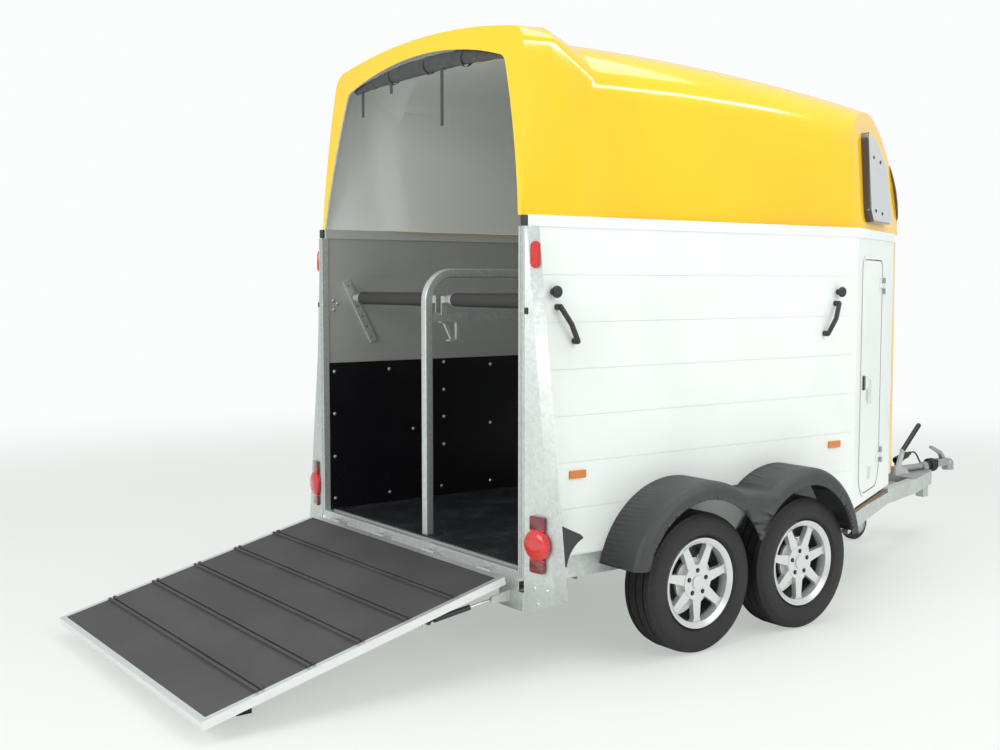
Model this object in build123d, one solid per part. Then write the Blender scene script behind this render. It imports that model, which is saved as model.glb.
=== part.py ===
from build123d import *
from math import atan2, cos, degrees, hypot, pi, radians, sin, sqrt, tan
import os

# Horse trailer for two horses, millimetres.
# x runs forward from the rear posts, y to the left, z up from the ground.
# The model is shifted along x at the end, so that its origin lies under its middle.

# Body shell
BODY_HALF = 855          # half width over the side walls
WALL = 30                # plank wall thickness
CORNER_X = 2030          # where the slanted front quarter starts
NOSE_X = 2797            # where it ends
NOSE_HALF = 490          # half width of the front panel
WALL_Z0 = 462            # lower edge of the walls
RAIL_TOP = 1842          # top of the rail that carries the hood
RAIL_H = 45
RAIL_PROUD = 4           # the rail stands this far out of the wall
PLANK_PITCH = 190        # height of one wall plank
GROOVE_W = 3
GROOVE_D = 1.5
CORNER_LEG = 34          # leg of the rounded corner profile
CORNER_R = 14

# Floor and chassis
FLOOR_TOP = 430
MAT_T = 6
BOARD_T = 18
CHASSIS_H = 64           # height of the longitudinal rails
RAIL_Y = 600             # their distance from the middle
RAIL_W = 60
RAIL_END_X = 2290
CROSS_XS = (300, 620, 940, 1260, 1590, 1900, 2230)
CROSS_W = 50
SHEET = 4                # thickness of folded galvanised sheet
SILL_H = 92              # galvanised side sill under the wall
SILL_W = 26

# Rear frame
POST_X0 = -8             # rear face of the posts
POST_X1 = 24
POST_IN = 820            # inner edge of the posts
POST_Z0 = 280
FOLD_TOP_HALF = 863      # fold line of the wing plate at its top
FOLD_LOW_HALF = 1006     # and at its lower end
FOLD_LEAN = 0.207        # the plate runs forward as it goes out to the fold
WING_TOP_HALF = 893      # outer edge of the wing at its top
WING_LOW_HALF = 1078     # and at its lower end
WING_EDGE_X = 38
WING_Z0 = 360
WING_Z1 = 1797
BUMPER_IN = 690
BUMPER_OUT = 880
BUMPER_X1 = 190
BUMPER_Z0 = 266

# Ramp: the hinge axis, and the panel seen along it
HINGE_X = -45
HINGE_Z = 400
RAMP_LEN = 1336
RAMP_HALF = 812
RAMP_UP = 15             # top of the mat above the hinge axis
RAMP_T = 32
RAMP_START = 22
RAMP_TIP_Z = 86          # height of the tip's upper edge on level ground
EDGE_W = 26              # silver edge frame
CLEAT_H = 9
CLEAT_W = 34
RAMP_FIELDS = 6
FOOT_U = 1085            # rubber feet along the ramp
FOOT_Y = 570
FOOT_SIZE = 60
HINGE_YS = (-640, -215, 215, 640)
PIN_R = 6
KNUCKLE_R = 11
KNUCKLE_L = 44
CLEAR = 0.3              # running clearance of pins and seats

# Gas struts of the ramp
STRUT_Y = 752
STRUT_EYE_X = -85        # fixed eye on the chassis
STRUT_EYE_Z = 309
STRUT_U = 370            # pivot on the ramp, along it and below it
STRUT_N = -46
STRUT_BODY_R = 11
STRUT_ROD_R = 5
STRUT_BODY_L = 196
STRUT_EYE_R = 11
STRUT_EYE_T = 12

# Wheels
AXLE_XS = {"rear": 800, "front": 1451}
TYRE_R = 302
TYRE_W = 182
TRACK_Y = 957            # middle of the tyre
RIM_R = 178              # bead seat
FLANGE_R = 194           # outer lip
RIM_FACE_Y = 1036
BEAD = 67                # half distance between the tyre's beads
SPOKES = 7
HUB_R = 76
DRUM_R = 112
DRUM_W = 50
STUB_R = 20
AXLE_SIDE = 80           # square torsion tube
ARM_L = 160
ARM_Y0 = 796
ARM_Y1 = 836

# Mudguards
GUARD_OUT = 1090
GUARD_R = 420
GUARD_T = 6
GUARD_CZ = 322
GUARD_ROUND = 46
GUARD_Z0 = 410
GUARD_BRIDGE_Z = 662
ARCH_R = 345
ARCH_BACK = 10
TONGUE_Z = 458

# Hood
HOOD_T = 6
HOOP_HALF = 828
HOOP_CREST = 2660
HOOP_CORNER_R = 90
MAIN_HALF = 806
MAIN_CREST = 2625
MAIN_SHOULDER_R = 280
CROWN_R = 4000
SIDE_R = 3600
SIDE_TURN_Z = 1900
ROOF_X = 450             # the roof line is level here
ROOF_R = 15500
REAR_LEAN = 4.3          # the rear arch leans forward
CREASE_LEAN = -10        # both creases lean back
CREASE_X1 = 330          # at the hood's lower edge
CREASE_X2 = 518
STEP_IN = 12             # how far the slope runs on under the main roof
FACE_T = 8               # rear flange
NOSE_TIP_X = 2990
NOSE_R = 560
NOSE_TURN_Z = 1930
NOSE_SWEEP = 78
NOSE_PLAN_R = 1360       # plan radius of the nose
QUARTER_LEAN = 6
QUARTER_IN = 10
OPEN_HALF = 806
OPEN_EAVE_HALF = 662
OPEN_EAVE_Z = 2440
OPEN_SIDE_R = 3300
OPEN_CREST = 2585
OPEN_CROWN_R = 2190
OPEN_CORNER_R = 55

# Side window in the hood's quarter: along the quarter and up
WINDOW_OUTLINE = ((190, 1892), (280, 2328), (425, 2296), (625, 2190), (645, 1895))
WINDOW_ROUND = 38
WINDOW_LAP = 16
PANE_T = 5
PANE_OFF = 9
BUBBLE_RISE = 32         # the side pane is a bubble that stands off its pad
BUBBLE_ROUND = 12
NOSE_WINDOW_HALF = 400
NOSE_WINDOW_Z0 = 1900
NOSE_WINDOW_Z1 = 2250

# Front panel
PANEL_Z0 = 520
PANEL_T = 8
PANEL_BULGE_TOP = 190
PANEL_BULGE_LOW = 265
PANEL_SIDE_TOP = 40      # its edges first run on along the quarters
PANEL_SIDE_LOW = 72

# Side door in the right front quarter, along the quarter and up
DOOR_S0 = 118
DOOR_S1 = 553
DOOR_Z0 = 512
DOOR_Z1 = 1688
DOOR_GAP = 6
DOOR_R_TOP = 45
DOOR_R_LOW = 110
DOOR_RIM = 16
DOOR_RIM_H = 4
DOOR_LEAF_OUT = 2
DOOR_AXIS_S = 578
DOOR_AXIS_OUT = 14
DOOR_HINGE_ZS = (665, 1560)

# Partition and bars
TUBE = 40
PART_X0 = 87
PART_X1 = 2180
PART_TOP = 1620
PART_MID = 1420
PART_BEND = 150
BAR_Z = 1500
BAR_X = 165
BAR_R = 35
BAR_TUBE_R = 19
BREAST_X = 1955
BREAST_Z = 1080
CURTAIN_R = 24
KICK_TOP = 1172
KICK_T = 6

# Drawbar and coupling
BEAM_W = 50
BEAM_END_X = 3830
BEAM_END_HALF = 50
BEAM_SLOPE = 0.413       # sideways run of each beam per length
BEAM_BACK_X = 2120
BEAM_H = 84
BEAM_TOP = 392
BEAM_FLAT_X = 3438
BEAM_HIGH_X = 2835
BEAM_HIGH_TOP = 428
HOUSE_X0 = 3480
HOUSE_X1 = 3830
HOUSE_R = 21
HOUSE_Z = 418
HOUSE_RING = 5
NECK_R = 16
BELLOWS_X1 = 3925
HEAD_X1 = 4040
SOCKET_X = 4070
SOCKET_R = 25.2          # for a 50 mm ball
SOCKET_WALL = 11
SOCKET_DEPTH = 38
SOCKET_Z0 = 374

HAND_Y = -46             # handbrake lever

# Jockey wheel
JOCKEY_X = 3305
JOCKEY_Y = 100           # it stands a little left of the middle
JOCKEY_TUBE_R = 30
JOCKEY_INNER_R = 25
JOCKEY_WHEEL_R = 100
JOCKEY_WHEEL_W = 56
JOCKEY_TRAIL = 45
JOCKEY_TOP = 700
JOCKEY_LOW = 318         # lower end of the outer tube
JOCKEY_LIFT = 90
JOCKEY_PIN_R = 10


def box(x0, x1, y0, y1, z0, z1):
    """A box from its two corners."""
    return Pos((x0 + x1) / 2, (y0 + y1) / 2, (z0 + z1) / 2) * Box(x1 - x0, y1 - y0, z1 - z0)


def rod(start, end, radius):
    """A round bar between two points."""
    a = Vector(*start)
    b = Vector(*end)
    plane = Plane(origin=(a + b) / 2, z_dir=b - a)
    return plane * Cylinder(radius, (b - a).length)


def prism_z(points, z0, z1):
    face = make_face(Polyline(*[(x, y, z0) for x, y in points], close=True))
    return extrude(face, amount=z1 - z0, dir=(0, 0, 1))


def prism_y(points, y0, y1):
    """A side view outline, x and z, given its width."""
    face = make_face(Polyline(*[(x, y0, z) for x, z in points], close=True))
    return extrude(face, amount=y1 - y0, dir=(0, 1, 0))


def prism_x(points, x0, x1):
    """A rear view outline, y and z, given its length."""
    face = make_face(Polyline(*[(x0, y, z) for y, z in points], close=True))
    return extrude(face, amount=x1 - x0, dir=(1, 0, 0))


def mirrored(shape):
    return mirror(shape, about=Plane.XZ)


def both_sides(shape):
    return Compound(children=[*shape.solids(), *mirrored(shape).solids()])


def group(*shapes):
    """Separate solids that share one node."""
    return Compound(children=[solid for shape in shapes for solid in shape.solids()])


# The slanted front quarter on the right: s along it, v up, w outwards
QUARTER_ANGLE = atan2(BODY_HALF - NOSE_HALF, NOSE_X - CORNER_X)
QUARTER_LEN = hypot(BODY_HALF - NOSE_HALF, NOSE_X - CORNER_X)
QUARTER_ALONG = (cos(QUARTER_ANGLE), sin(QUARTER_ANGLE), 0)
QUARTER_OUT = (sin(QUARTER_ANGLE), -cos(QUARTER_ANGLE), 0)
QUARTER = Plane(origin=(CORNER_X, -BODY_HALF, 0), x_dir=QUARTER_ALONG, z_dir=QUARTER_OUT)


def quarter_point(s, w, z):
    """A point of the right front quarter, in the trailer's frame."""
    x = CORNER_X + s * QUARTER_ALONG[0] + w * QUARTER_OUT[0]
    y = -BODY_HALF + s * QUARTER_ALONG[1] + w * QUARTER_OUT[1]
    return x, y, z


def quarter_box(s0, s1, w0, w1, z0, z1):
    solid = Pos((s0 + s1) / 2, (z0 + z1) / 2, (w0 + w1) / 2) * Box(s1 - s0, z1 - z0, w1 - w0)
    return QUARTER * solid


def inset_corner(inset):
    """Where the side wall and the quarter meet, both moved inwards."""
    back = inset * tan(QUARTER_ANGLE / 2)
    return CORNER_X - back, BODY_HALF - inset


def inset_nose(inset, half):
    """The point of the inset quarter line at this half width."""
    x, y = inset_corner(inset)
    return x + (y - half) / tan(QUARTER_ANGLE), half


# Hood outlines

def two_circles(c1, r1, c2, r2):
    """The upper right meeting point of two circles."""
    dx = c2[0] - c1[0]
    dy = c2[1] - c1[1]
    d = hypot(dx, dy)
    a = (r1 * r1 - r2 * r2 + d * d) / (2 * d)
    h = sqrt(r1 * r1 - a * a)
    mx = c1[0] + a * dx / d
    my = c1[1] + a * dy / d
    first = (mx + h * dy / d, my - h * dx / d)
    second = (mx - h * dy / d, my + h * dx / d)
    return max(first, second, key=lambda p: p[0] + p[1])


def arch_face(plane, side_centre, side_r, crest, crown_r, corner_r, base, foot):
    """An arch: straight feet, bowed sides, round corners and a crowned top."""
    crown = (0, crest - crown_r)
    corner = two_circles(side_centre, side_r - corner_r, crown, crown_r - corner_r)

    def beyond(centre):
        gap = hypot(corner[0] - centre[0], corner[1] - centre[1])
        return ((corner[0] - centre[0]) / gap, (corner[1] - centre[1]) / gap)

    side_dir = beyond(side_centre)
    top_dir = beyond(crown)
    side_end = (corner[0] + corner_r * side_dir[0], corner[1] + corner_r * side_dir[1])
    top_end = (corner[0] + corner_r * top_dir[0], corner[1] + corner_r * top_dir[1])
    half_angle = (atan2(side_dir[1], side_dir[0]) + atan2(top_dir[1], top_dir[0])) / 2
    corner_mid = (corner[0] + corner_r * cos(half_angle), corner[1] + corner_r * sin(half_angle))
    side_z = (base + side_end[1]) / 2
    side_y = side_centre[0] + sqrt(side_r ** 2 - (side_z - side_centre[1]) ** 2)
    base_y = side_centre[0] + sqrt(side_r ** 2 - (base - side_centre[1]) ** 2)

    def at(y, z):
        return plane.from_local_coords((y, z, 0))

    edges = [Line(at(-base_y, base - foot), at(base_y, base - foot)),
             Line(at(base_y, base - foot), at(base_y, base)),
             ThreePointArc(at(base_y, base), at(side_y, side_z), at(*side_end)),
             ThreePointArc(at(*side_end), at(*corner_mid), at(*top_end)),
             ThreePointArc(at(*top_end), at(0, crest), at(-top_end[0], top_end[1])),
             ThreePointArc(at(-top_end[0], top_end[1]), at(-corner_mid[0], corner_mid[1]),
                           at(-side_end[0], side_end[1])),
             ThreePointArc(at(-side_end[0], side_end[1]), at(-side_y, side_z), at(-base_y, base)),
             Line(at(-base_y, base), at(-base_y, base - foot))]
    return make_face(edges)


def leaning_plane(x, lean, z):
    """A plane across the trailer that leans forward by so many degrees."""
    a = radians(lean)
    return Plane(origin=(x, 0, z), x_dir=(0, 1, 0), z_dir=(cos(a), 0, -sin(a)))


def hood_section(x, lean, half, crest, corner_r, inset):
    """A hood section on a plane that leans about the hood's lower edge."""
    stretch = 1 / cos(radians(lean))
    turn = (SIDE_TURN_Z - RAIL_TOP) * stretch
    top = (crest - RAIL_TOP) * stretch - inset
    side_centre = (half - SIDE_R, turn)
    return arch_face(leaning_plane(x, lean, RAIL_TOP), side_centre, SIDE_R - inset, top,
                     CROWN_R - inset, corner_r - inset, 0, 60)


def nose_profile(inset):
    """The hood's front: its side view turned about an upright axis."""
    cx = NOSE_TIP_X - NOSE_R
    r = NOSE_R - inset
    end = radians(NOSE_SWEEP)
    mid = end / 2
    slope = radians(90 - NOSE_SWEEP)
    top = (cx + r * cos(end), NOSE_TURN_Z + r * sin(end))
    axis_x = NOSE_TIP_X - NOSE_PLAN_R
    run = (top[0] - axis_x) / cos(slope)
    back = (axis_x, top[1] + run * sin(slope))

    def at(x, z):
        return (x, 0, z)

    low = RAIL_TOP - 60
    edges = [Line(at(axis_x, low), at(cx + r, low)),
             Line(at(cx + r, low), at(cx + r, NOSE_TURN_Z)),
             ThreePointArc(at(cx + r, NOSE_TURN_Z),
                           at(cx + r * cos(mid), NOSE_TURN_Z + r * sin(mid)), at(*top)),
             Line(at(*top), at(*back)),
             Line(at(*back), at(axis_x, low))]
    dome = revolve(make_face(edges), axis=Axis((axis_x, 0, 0), (0, 0, 1)))
    return dome + box(-300, axis_x + 300, -1200, 1200, low, back[1] - 300 * tan(slope) - 1)


def quarter_cut(inset):
    """All that lies outside the leaning right quarter of the hood."""
    lean = radians(QUARTER_LEAN)
    out = (QUARTER_OUT[0] * cos(lean), QUARTER_OUT[1] * cos(lean), sin(lean))
    origin = quarter_point(0, -QUARTER_IN, RAIL_TOP)
    plane = Plane(origin=origin, x_dir=QUARTER_ALONG, z_dir=out)
    return plane * Pos(0, 0, 1000 - inset) * Box(6000, 6000, 2000)


def main_form(inset):
    """The long rear to front roof: one section swept along a shallow arc."""
    section = hood_section(ROOF_X, 0, MAIN_HALF, MAIN_CREST, MAIN_SHOULDER_R, inset)
    axis = Axis((ROOF_X, 0, MAIN_CREST - ROOF_R), (0, 1, 0))
    start = degrees(atan2(ROOF_X - 220, ROOF_R))
    end = degrees(atan2(NOSE_TIP_X + 80 - ROOF_X, ROOF_R))
    form = revolve(section.rotate(axis, -start), axis=axis, revolution_arc=start + end)
    return form & nose_profile(inset)


def hood_form(inset, rear):
    """The outside of the hood, or its inside when inset."""
    first = hood_section(rear, REAR_LEAN, HOOP_HALF, HOOP_CREST, HOOP_CORNER_R, inset)
    second = hood_section(CREASE_X1, CREASE_LEAN, HOOP_HALF, HOOP_CREST + 6, HOOP_CORNER_R, inset)
    third = hood_section(CREASE_X2 + 60, CREASE_LEAN, MAIN_HALF - STEP_IN, MAIN_CREST - STEP_IN,
                         MAIN_SHOULDER_R, inset)
    hoop = loft([first, second], ruled=True) + loft([second, third], ruled=True)
    form = hoop + main_form(inset)
    cut = quarter_cut(inset)
    form = form - cut - mirrored(cut)
    return form - box(-400, 3400, -1300, 1300, 1500, RAIL_TOP)


def circle_centre(p, q, r):
    """Centre, on the left, of the circle through two points."""
    mx = (p[0] + q[0]) / 2
    my = (p[1] + q[1]) / 2
    dx = q[0] - p[0]
    dy = q[1] - p[1]
    d = hypot(dx, dy)
    h = sqrt(r * r - d * d / 4)
    return mx - h * dy / d, my + h * dx / d


def opening_face(grow=0):
    centre = circle_centre((OPEN_HALF, RAIL_TOP), (OPEN_EAVE_HALF, OPEN_EAVE_Z), OPEN_SIDE_R)
    plane = Plane(origin=(-200, 0, 0), x_dir=(0, 1, 0), z_dir=(1, 0, 0))
    return arch_face(plane, centre, OPEN_SIDE_R + grow, OPEN_CREST + grow, OPEN_CROWN_R + grow,
                     OPEN_CORNER_R + grow, RAIL_TOP, 60)


def window_face(grow):
    outline = Polyline(*[(s, z - RAIL_TOP) for s, z in WINDOW_OUTLINE], close=True)
    face = fillet(make_face(outline).vertices(), WINDOW_ROUND)
    if grow:
        face = offset(face, grow)
    return face


def window_plane():
    lean = radians(QUARTER_LEAN)
    out = (QUARTER_OUT[0] * cos(lean), QUARTER_OUT[1] * cos(lean), sin(lean))
    return Plane(origin=quarter_point(0, -QUARTER_IN, RAIL_TOP), x_dir=QUARTER_ALONG, z_dir=out)


def window_prism(grow, w0, w1):
    """The side window's outline, given a depth through the leaning quarter."""
    return window_plane() * Pos(0, 0, w0) * extrude(window_face(grow), amount=w1 - w0)


def nose_window_prism(grow):
    z0 = NOSE_WINDOW_Z0 - grow
    z1 = NOSE_WINDOW_Z1 + grow
    half = NOSE_WINDOW_HALF + grow
    mid = (z0 + z1) / 2
    sketch = Plane(origin=(NOSE_TIP_X - 300, 0, mid), x_dir=(0, 1, 0), z_dir=(1, 0, 0)) \
        * RectangleRounded(2 * half, z1 - z0, 70)
    return extrude(sketch, amount=500)


def make_hood():
    shell = hood_form(0, 0) - hood_form(HOOD_T, FACE_T)
    shell -= extrude(opening_face(), amount=600)
    window = window_prism(0, -60, 60)
    shell -= window
    shell -= mirrored(window)
    shell -= nose_window_prism(0)
    return shell


def make_side_windows():
    """On each quarter a pad, and a pane drawn up into a bubble with rounded edges."""
    bubble = extrude(window_face(WINDOW_LAP), amount=BUBBLE_RISE)
    bubble = fillet(bubble.faces().sort_by(Axis.Z)[-1].edges(), BUBBLE_ROUND)
    bubble -= Pos(0, 0, -1) * extrude(window_face(WINDOW_LAP - PANE_T), amount=BUBBLE_RISE - PANE_T + 1)
    pad = window_prism(WINDOW_LAP, 0, PANE_OFF) - window_prism(-4, -1, PANE_OFF + 1)
    return both_sides(window_plane() * Pos(0, 0, PANE_OFF) * bubble + pad)


def make_front_window():
    skin = nose_profile(-PANE_T) - nose_profile(0)
    pane = skin & nose_window_prism(WINDOW_LAP)
    return pane


# Walls, rail and panels

def plan_points(inset, half):
    """Half of the body's plan from the rear forward, right side, as y is negative."""
    cx, cy = inset_corner(inset)
    nx, ny = inset_nose(inset, half)
    return (cx, cy), (nx, ny)


def make_side_wall():
    x0 = POST_X1
    x1 = CORNER_X - CORNER_LEG
    z1 = RAIL_TOP - RAIL_H
    wall = box(x0, x1, -BODY_HALF, -BODY_HALF + WALL, WALL_Z0, z1)
    count = int((z1 - WALL_Z0 - 1) // PLANK_PITCH)
    for i in range(1, count + 1):
        z = z1 - i * PLANK_PITCH
        for y0 in (-BODY_HALF - 1, -BODY_HALF + WALL - GROOVE_D):
            wall -= box(x0 - 1, x1 + 1, y0, y0 + GROOVE_D + 1, z - GROOVE_W / 2, z + GROOVE_W / 2)
    return wall


def ring_points(inset, start_x, front):
    (cx, cy), (nx, ny) = plan_points(inset, NOSE_HALF)
    right = [(start_x, -cy), (cx, -cy), (nx, -ny)]
    left = [(x, -y) for x, y in reversed(right)]
    return right + front + left


def make_top_rail():
    z0 = RAIL_TOP - RAIL_H
    start = POST_X0 + 18
    outer = prism_z(ring_points(-RAIL_PROUD, start, []), z0, RAIL_TOP)
    inner = prism_z(ring_points(WALL + 6, start - 10, []), z0 - 1, RAIL_TOP + 1)
    rail = outer - inner
    corner = prism_z([(CORNER_X - CORNER_LEG, -BODY_HALF), (CORNER_X, -BODY_HALF),
                      quarter_point(CORNER_LEG, 0, 0)[:2],
                      quarter_point(CORNER_LEG, -WALL, 0)[:2],
                      (inset_corner(WALL)[0], -inset_corner(WALL)[1]),
                      (CORNER_X - CORNER_LEG, -BODY_HALF + WALL)], WALL_Z0 - 8, z0)
    edge = corner.edges().filter_by(Axis.Z).sort_by(lambda e: (e.center() - Vector(CORNER_X, -BODY_HALF,
                                                                                 0)).length)[0]
    corner = fillet(edge, CORNER_R)
    return rail + corner + mirrored(corner)


def door_sketch(grow):
    s0 = DOOR_S0 - grow
    s1 = DOOR_S1 + grow
    z0 = DOOR_Z0 - grow
    z1 = DOOR_Z1 + grow
    face = make_face(Polyline((s0, z0), (s1, z0), (s1, z1), (s0, z1), close=True))
    low = face.vertices().filter_by_position(Axis.Y, z0 - 1, z0 + 1)
    high = face.vertices().filter_by_position(Axis.Y, z1 - 1, z1 + 1)
    face = fillet(low, DOOR_R_LOW + grow)
    high = face.vertices().filter_by_position(Axis.Y, z1 - 1, z1 + 1)
    return fillet(high, DOOR_R_TOP + grow)


def make_quarter_panel(with_door):
    panel = quarter_box(CORNER_LEG, QUARTER_LEN, -WALL, 0, WALL_Z0, RAIL_TOP - RAIL_H)
    if not with_door:
        return mirrored(panel)
    hole = QUARTER * Pos(0, 0, -WALL - 1) * extrude(door_sketch(DOOR_GAP), amount=WALL + 20)
    rim = QUARTER * extrude(door_sketch(DOOR_GAP + DOOR_RIM), amount=DOOR_RIM_H)
    return panel + rim - hole


def panel_form(inset):
    """The front panel: an upright sheet that leaves the quarters straight and is bowed forward."""
    sections = []
    for z, bulge, run in ((PANEL_Z0, PANEL_BULGE_LOW, PANEL_SIDE_LOW),
                          (RAIL_TOP - RAIL_H, PANEL_BULGE_TOP, PANEL_SIDE_TOP)):
        half = NOSE_HALF - inset
        x = NOSE_X + run * QUARTER_ALONG[0]
        y = half - run * QUARTER_ALONG[1]
        edges = [Line((NOSE_X, -half, z), (x, -y, z)),
                 ThreePointArc((x, -y, z), (NOSE_X + bulge - inset, 0, z), (x, y, z)),
                 Line((x, y, z), (NOSE_X, half, z)), Line((NOSE_X, half, z), (NOSE_X, -half, z))]
        sections.append(make_face(edges))
    return loft(sections, ruled=True)


def make_front_panel():
    return panel_form(0) - panel_form(PANEL_T)


def make_floor_board():
    (cx, cy), (nx, ny) = plan_points(WALL + 1, NOSE_HALF - WALL)
    z0 = FLOOR_TOP - MAT_T - BOARD_T
    pts = [(POST_X1 + 24, -cy), (cx, -cy), (nx, -ny), (nx, ny), (cx, cy), (POST_X1 + 24, cy)]
    return prism_z(pts, z0, z0 + BOARD_T)


def make_floor_mat():
    (cx, cy), (nx, ny) = plan_points(WALL + 10, NOSE_HALF - WALL - 8)
    z0 = FLOOR_TOP - MAT_T
    pts = [(POST_X1 + 26, -cy), (cx, -cy), (nx, -ny), (nx, ny), (cx, cy), (POST_X1 + 26, cy)]
    return prism_z(pts, z0, FLOOR_TOP)


def make_kick_boards():
    x0 = POST_X1 + 2
    x1 = CORNER_X - CORNER_LEG - 20
    y = -BODY_HALF + WALL
    board = box(x0, x1, y, y + KICK_T, FLOOR_TOP + 1, KICK_TOP)
    return both_sides(board)


# Chassis and drawbar

CHASSIS_TOP = FLOOR_TOP - MAT_T - BOARD_T


def beam_half(x):
    """Outer face of the right drawbar beam at this x."""
    return BEAM_END_HALF + (BEAM_END_X - x) * BEAM_SLOPE


def make_beam():
    """Right drawbar beam: a folded channel, open towards the middle, bevelled where the two meet."""
    side = [(BEAM_BACK_X, BEAM_TOP - BEAM_H), (BEAM_HIGH_X, BEAM_HIGH_TOP - BEAM_H),
            (BEAM_FLAT_X, BEAM_TOP - BEAM_H), (BEAM_END_X, BEAM_TOP - BEAM_H),
            (BEAM_END_X, BEAM_TOP), (BEAM_FLAT_X, BEAM_TOP), (BEAM_HIGH_X, BEAM_HIGH_TOP),
            (BEAM_HIGH_X, CHASSIS_TOP), (BEAM_BACK_X, CHASSIS_TOP)]
    shape = prism_y(side, -1000, -CLEAR / 2)
    width = BEAM_W / cos(atan2(BEAM_SLOPE, 1))
    plan = [(x, -beam_half(x) + add) for x, add in ((BEAM_BACK_X, 0), (BEAM_END_X, 0),
                                                    (BEAM_END_X, width), (BEAM_BACK_X, width))]
    solid = shape & prism_z(plan, 200, 500)
    pocket_side = [(BEAM_BACK_X - 5, BEAM_TOP - BEAM_H + SHEET),
                   (BEAM_HIGH_X, BEAM_HIGH_TOP - BEAM_H + SHEET),
                   (BEAM_FLAT_X, BEAM_TOP - BEAM_H + SHEET),
                   (BEAM_END_X - SHEET, BEAM_TOP - BEAM_H + SHEET),
                   (BEAM_END_X - SHEET, BEAM_TOP - SHEET), (BEAM_FLAT_X, BEAM_TOP - SHEET),
                   (BEAM_HIGH_X + SHEET, BEAM_HIGH_TOP - SHEET),
                   (BEAM_HIGH_X + SHEET, CHASSIS_TOP - SHEET), (BEAM_BACK_X - 5, CHASSIS_TOP - SHEET)]
    pocket = prism_y(pocket_side, -1000, 100)
    inner = [(x, -beam_half(x) + add) for x, add in ((BEAM_BACK_X - 5, SHEET), (BEAM_END_X - SHEET, SHEET),
                                                     (BEAM_END_X - SHEET, width + 20),
                                                     (BEAM_BACK_X - 5, width + 20))]
    return solid - (pocket & prism_z(inner, 200, 500))


def make_chassis():
    """Rails, cross members and folded side sills, butted face to face."""
    z0 = CHASSIS_TOP - CHASSIS_H
    rail_in = RAIL_Y - RAIL_W / 2
    rail_out = RAIL_Y + RAIL_W / 2
    rail = box(POST_X1 + 24, RAIL_END_X, rail_in, rail_out, z0, CHASSIS_TOP)
    sill_out = BODY_HALF - SHEET
    side = box(POST_X1, CORNER_X - CORNER_LEG, sill_out - SILL_W, sill_out, WALL_Z0 - SILL_H, WALL_Z0)
    side -= box(POST_X1 - 1, CORNER_X, sill_out - SILL_W - 1, sill_out - SHEET,
                WALL_Z0 - SILL_H + SHEET, CHASSIS_TOP)
    side -= box(POST_X1 - 1, CORNER_X, sill_out - SILL_W - 1, sill_out - SHEET, CHASSIS_TOP - 1, WALL_Z0 + 1)
    solids = [rail, mirrored(rail), side, mirrored(side)]
    for x in CROSS_XS:
        x0 = x - CROSS_W / 2
        x1 = x + CROSS_W / 2
        solids.append(box(x0, x1, -rail_in, rail_in, CHASSIS_TOP - 50, CHASSIS_TOP))
        reach = sill_out - SHEET
        if x1 > BEAM_BACK_X:
            reach = beam_half(x1) - BEAM_W / cos(atan2(BEAM_SLOPE, 1))
        arm = box(x0, x1, rail_out, reach, CHASSIS_TOP - 50, CHASSIS_TOP)
        solids += [arm, mirrored(arm)]
    return group(*solids)


def make_drawbar():
    """The two beams, the tube and the plate between them, and the foot block under their tip."""
    beam = make_beam()
    tube = box(2900, 2940, -beam_half(2940) + SHEET, beam_half(2940) - SHEET, BEAM_TOP - 58, BEAM_TOP - 10)
    x1 = JOCKEY_X - 39
    plate = box(x1 - 6, x1, -beam_half(x1) + SHEET, beam_half(x1) - SHEET, BEAM_TOP - BEAM_H + 20, BEAM_TOP)
    foot = box(3778, 3828, -28, 28, 225, BEAM_TOP - BEAM_H)
    return group(beam, mirrored(beam), tube, plate, foot)


def make_overrun_housing():
    plate_z = BEAM_TOP + 6
    back = HOUSE_X0 - 40
    plate = prism_z([(back, -beam_half(HOUSE_X0) + 8), (HOUSE_X0, -beam_half(HOUSE_X0) + 8),
                     (HOUSE_X1, -BEAM_END_HALF + 4), (HOUSE_X1, BEAM_END_HALF - 4),
                     (HOUSE_X0, beam_half(HOUSE_X0) - 8), (back, beam_half(HOUSE_X0) - 8)],
                    BEAM_TOP, plate_z)
    tube = rod((HOUSE_X0, 0, HOUSE_Z), (HOUSE_X1, 0, HOUSE_Z), HOUSE_R)
    body = plate + tube
    for x0, x1 in ((HOUSE_X0, HOUSE_X0 + 50), (HOUSE_X1 - 46, HOUSE_X1)):
        body += box(x0, x1, -30, 30, plate_z - 2, HOUSE_Z)
        body += rod((x0, 0, HOUSE_Z), (x1, 0, HOUSE_Z), HOUSE_R + HOUSE_RING)
    bore = rod((HOUSE_X1 - 120, 0, HOUSE_Z), (HOUSE_X1 + 1, 0, HOUSE_Z), NECK_R + CLEAR)
    return body - bore


def make_bellows():
    """A corrugated boot between the housing and the coupling."""
    count = 5
    pitch = (BELLOWS_X1 - HOUSE_X1) / count
    pts = [(HOUSE_X1, NECK_R + CLEAR)]
    for i in range(count):
        x = HOUSE_X1 + i * pitch
        pts += [(x, 21), (x + pitch / 2, 29)]
    pts += [(BELLOWS_X1, 21), (BELLOWS_X1, NECK_R + CLEAR)]
    face = make_face(Polyline(*[(x, 0, HOUSE_Z + r) for x, r in pts], close=True))
    return revolve(face, axis=Axis((0, 0, HOUSE_Z), (1, 0, 0)))


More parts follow.
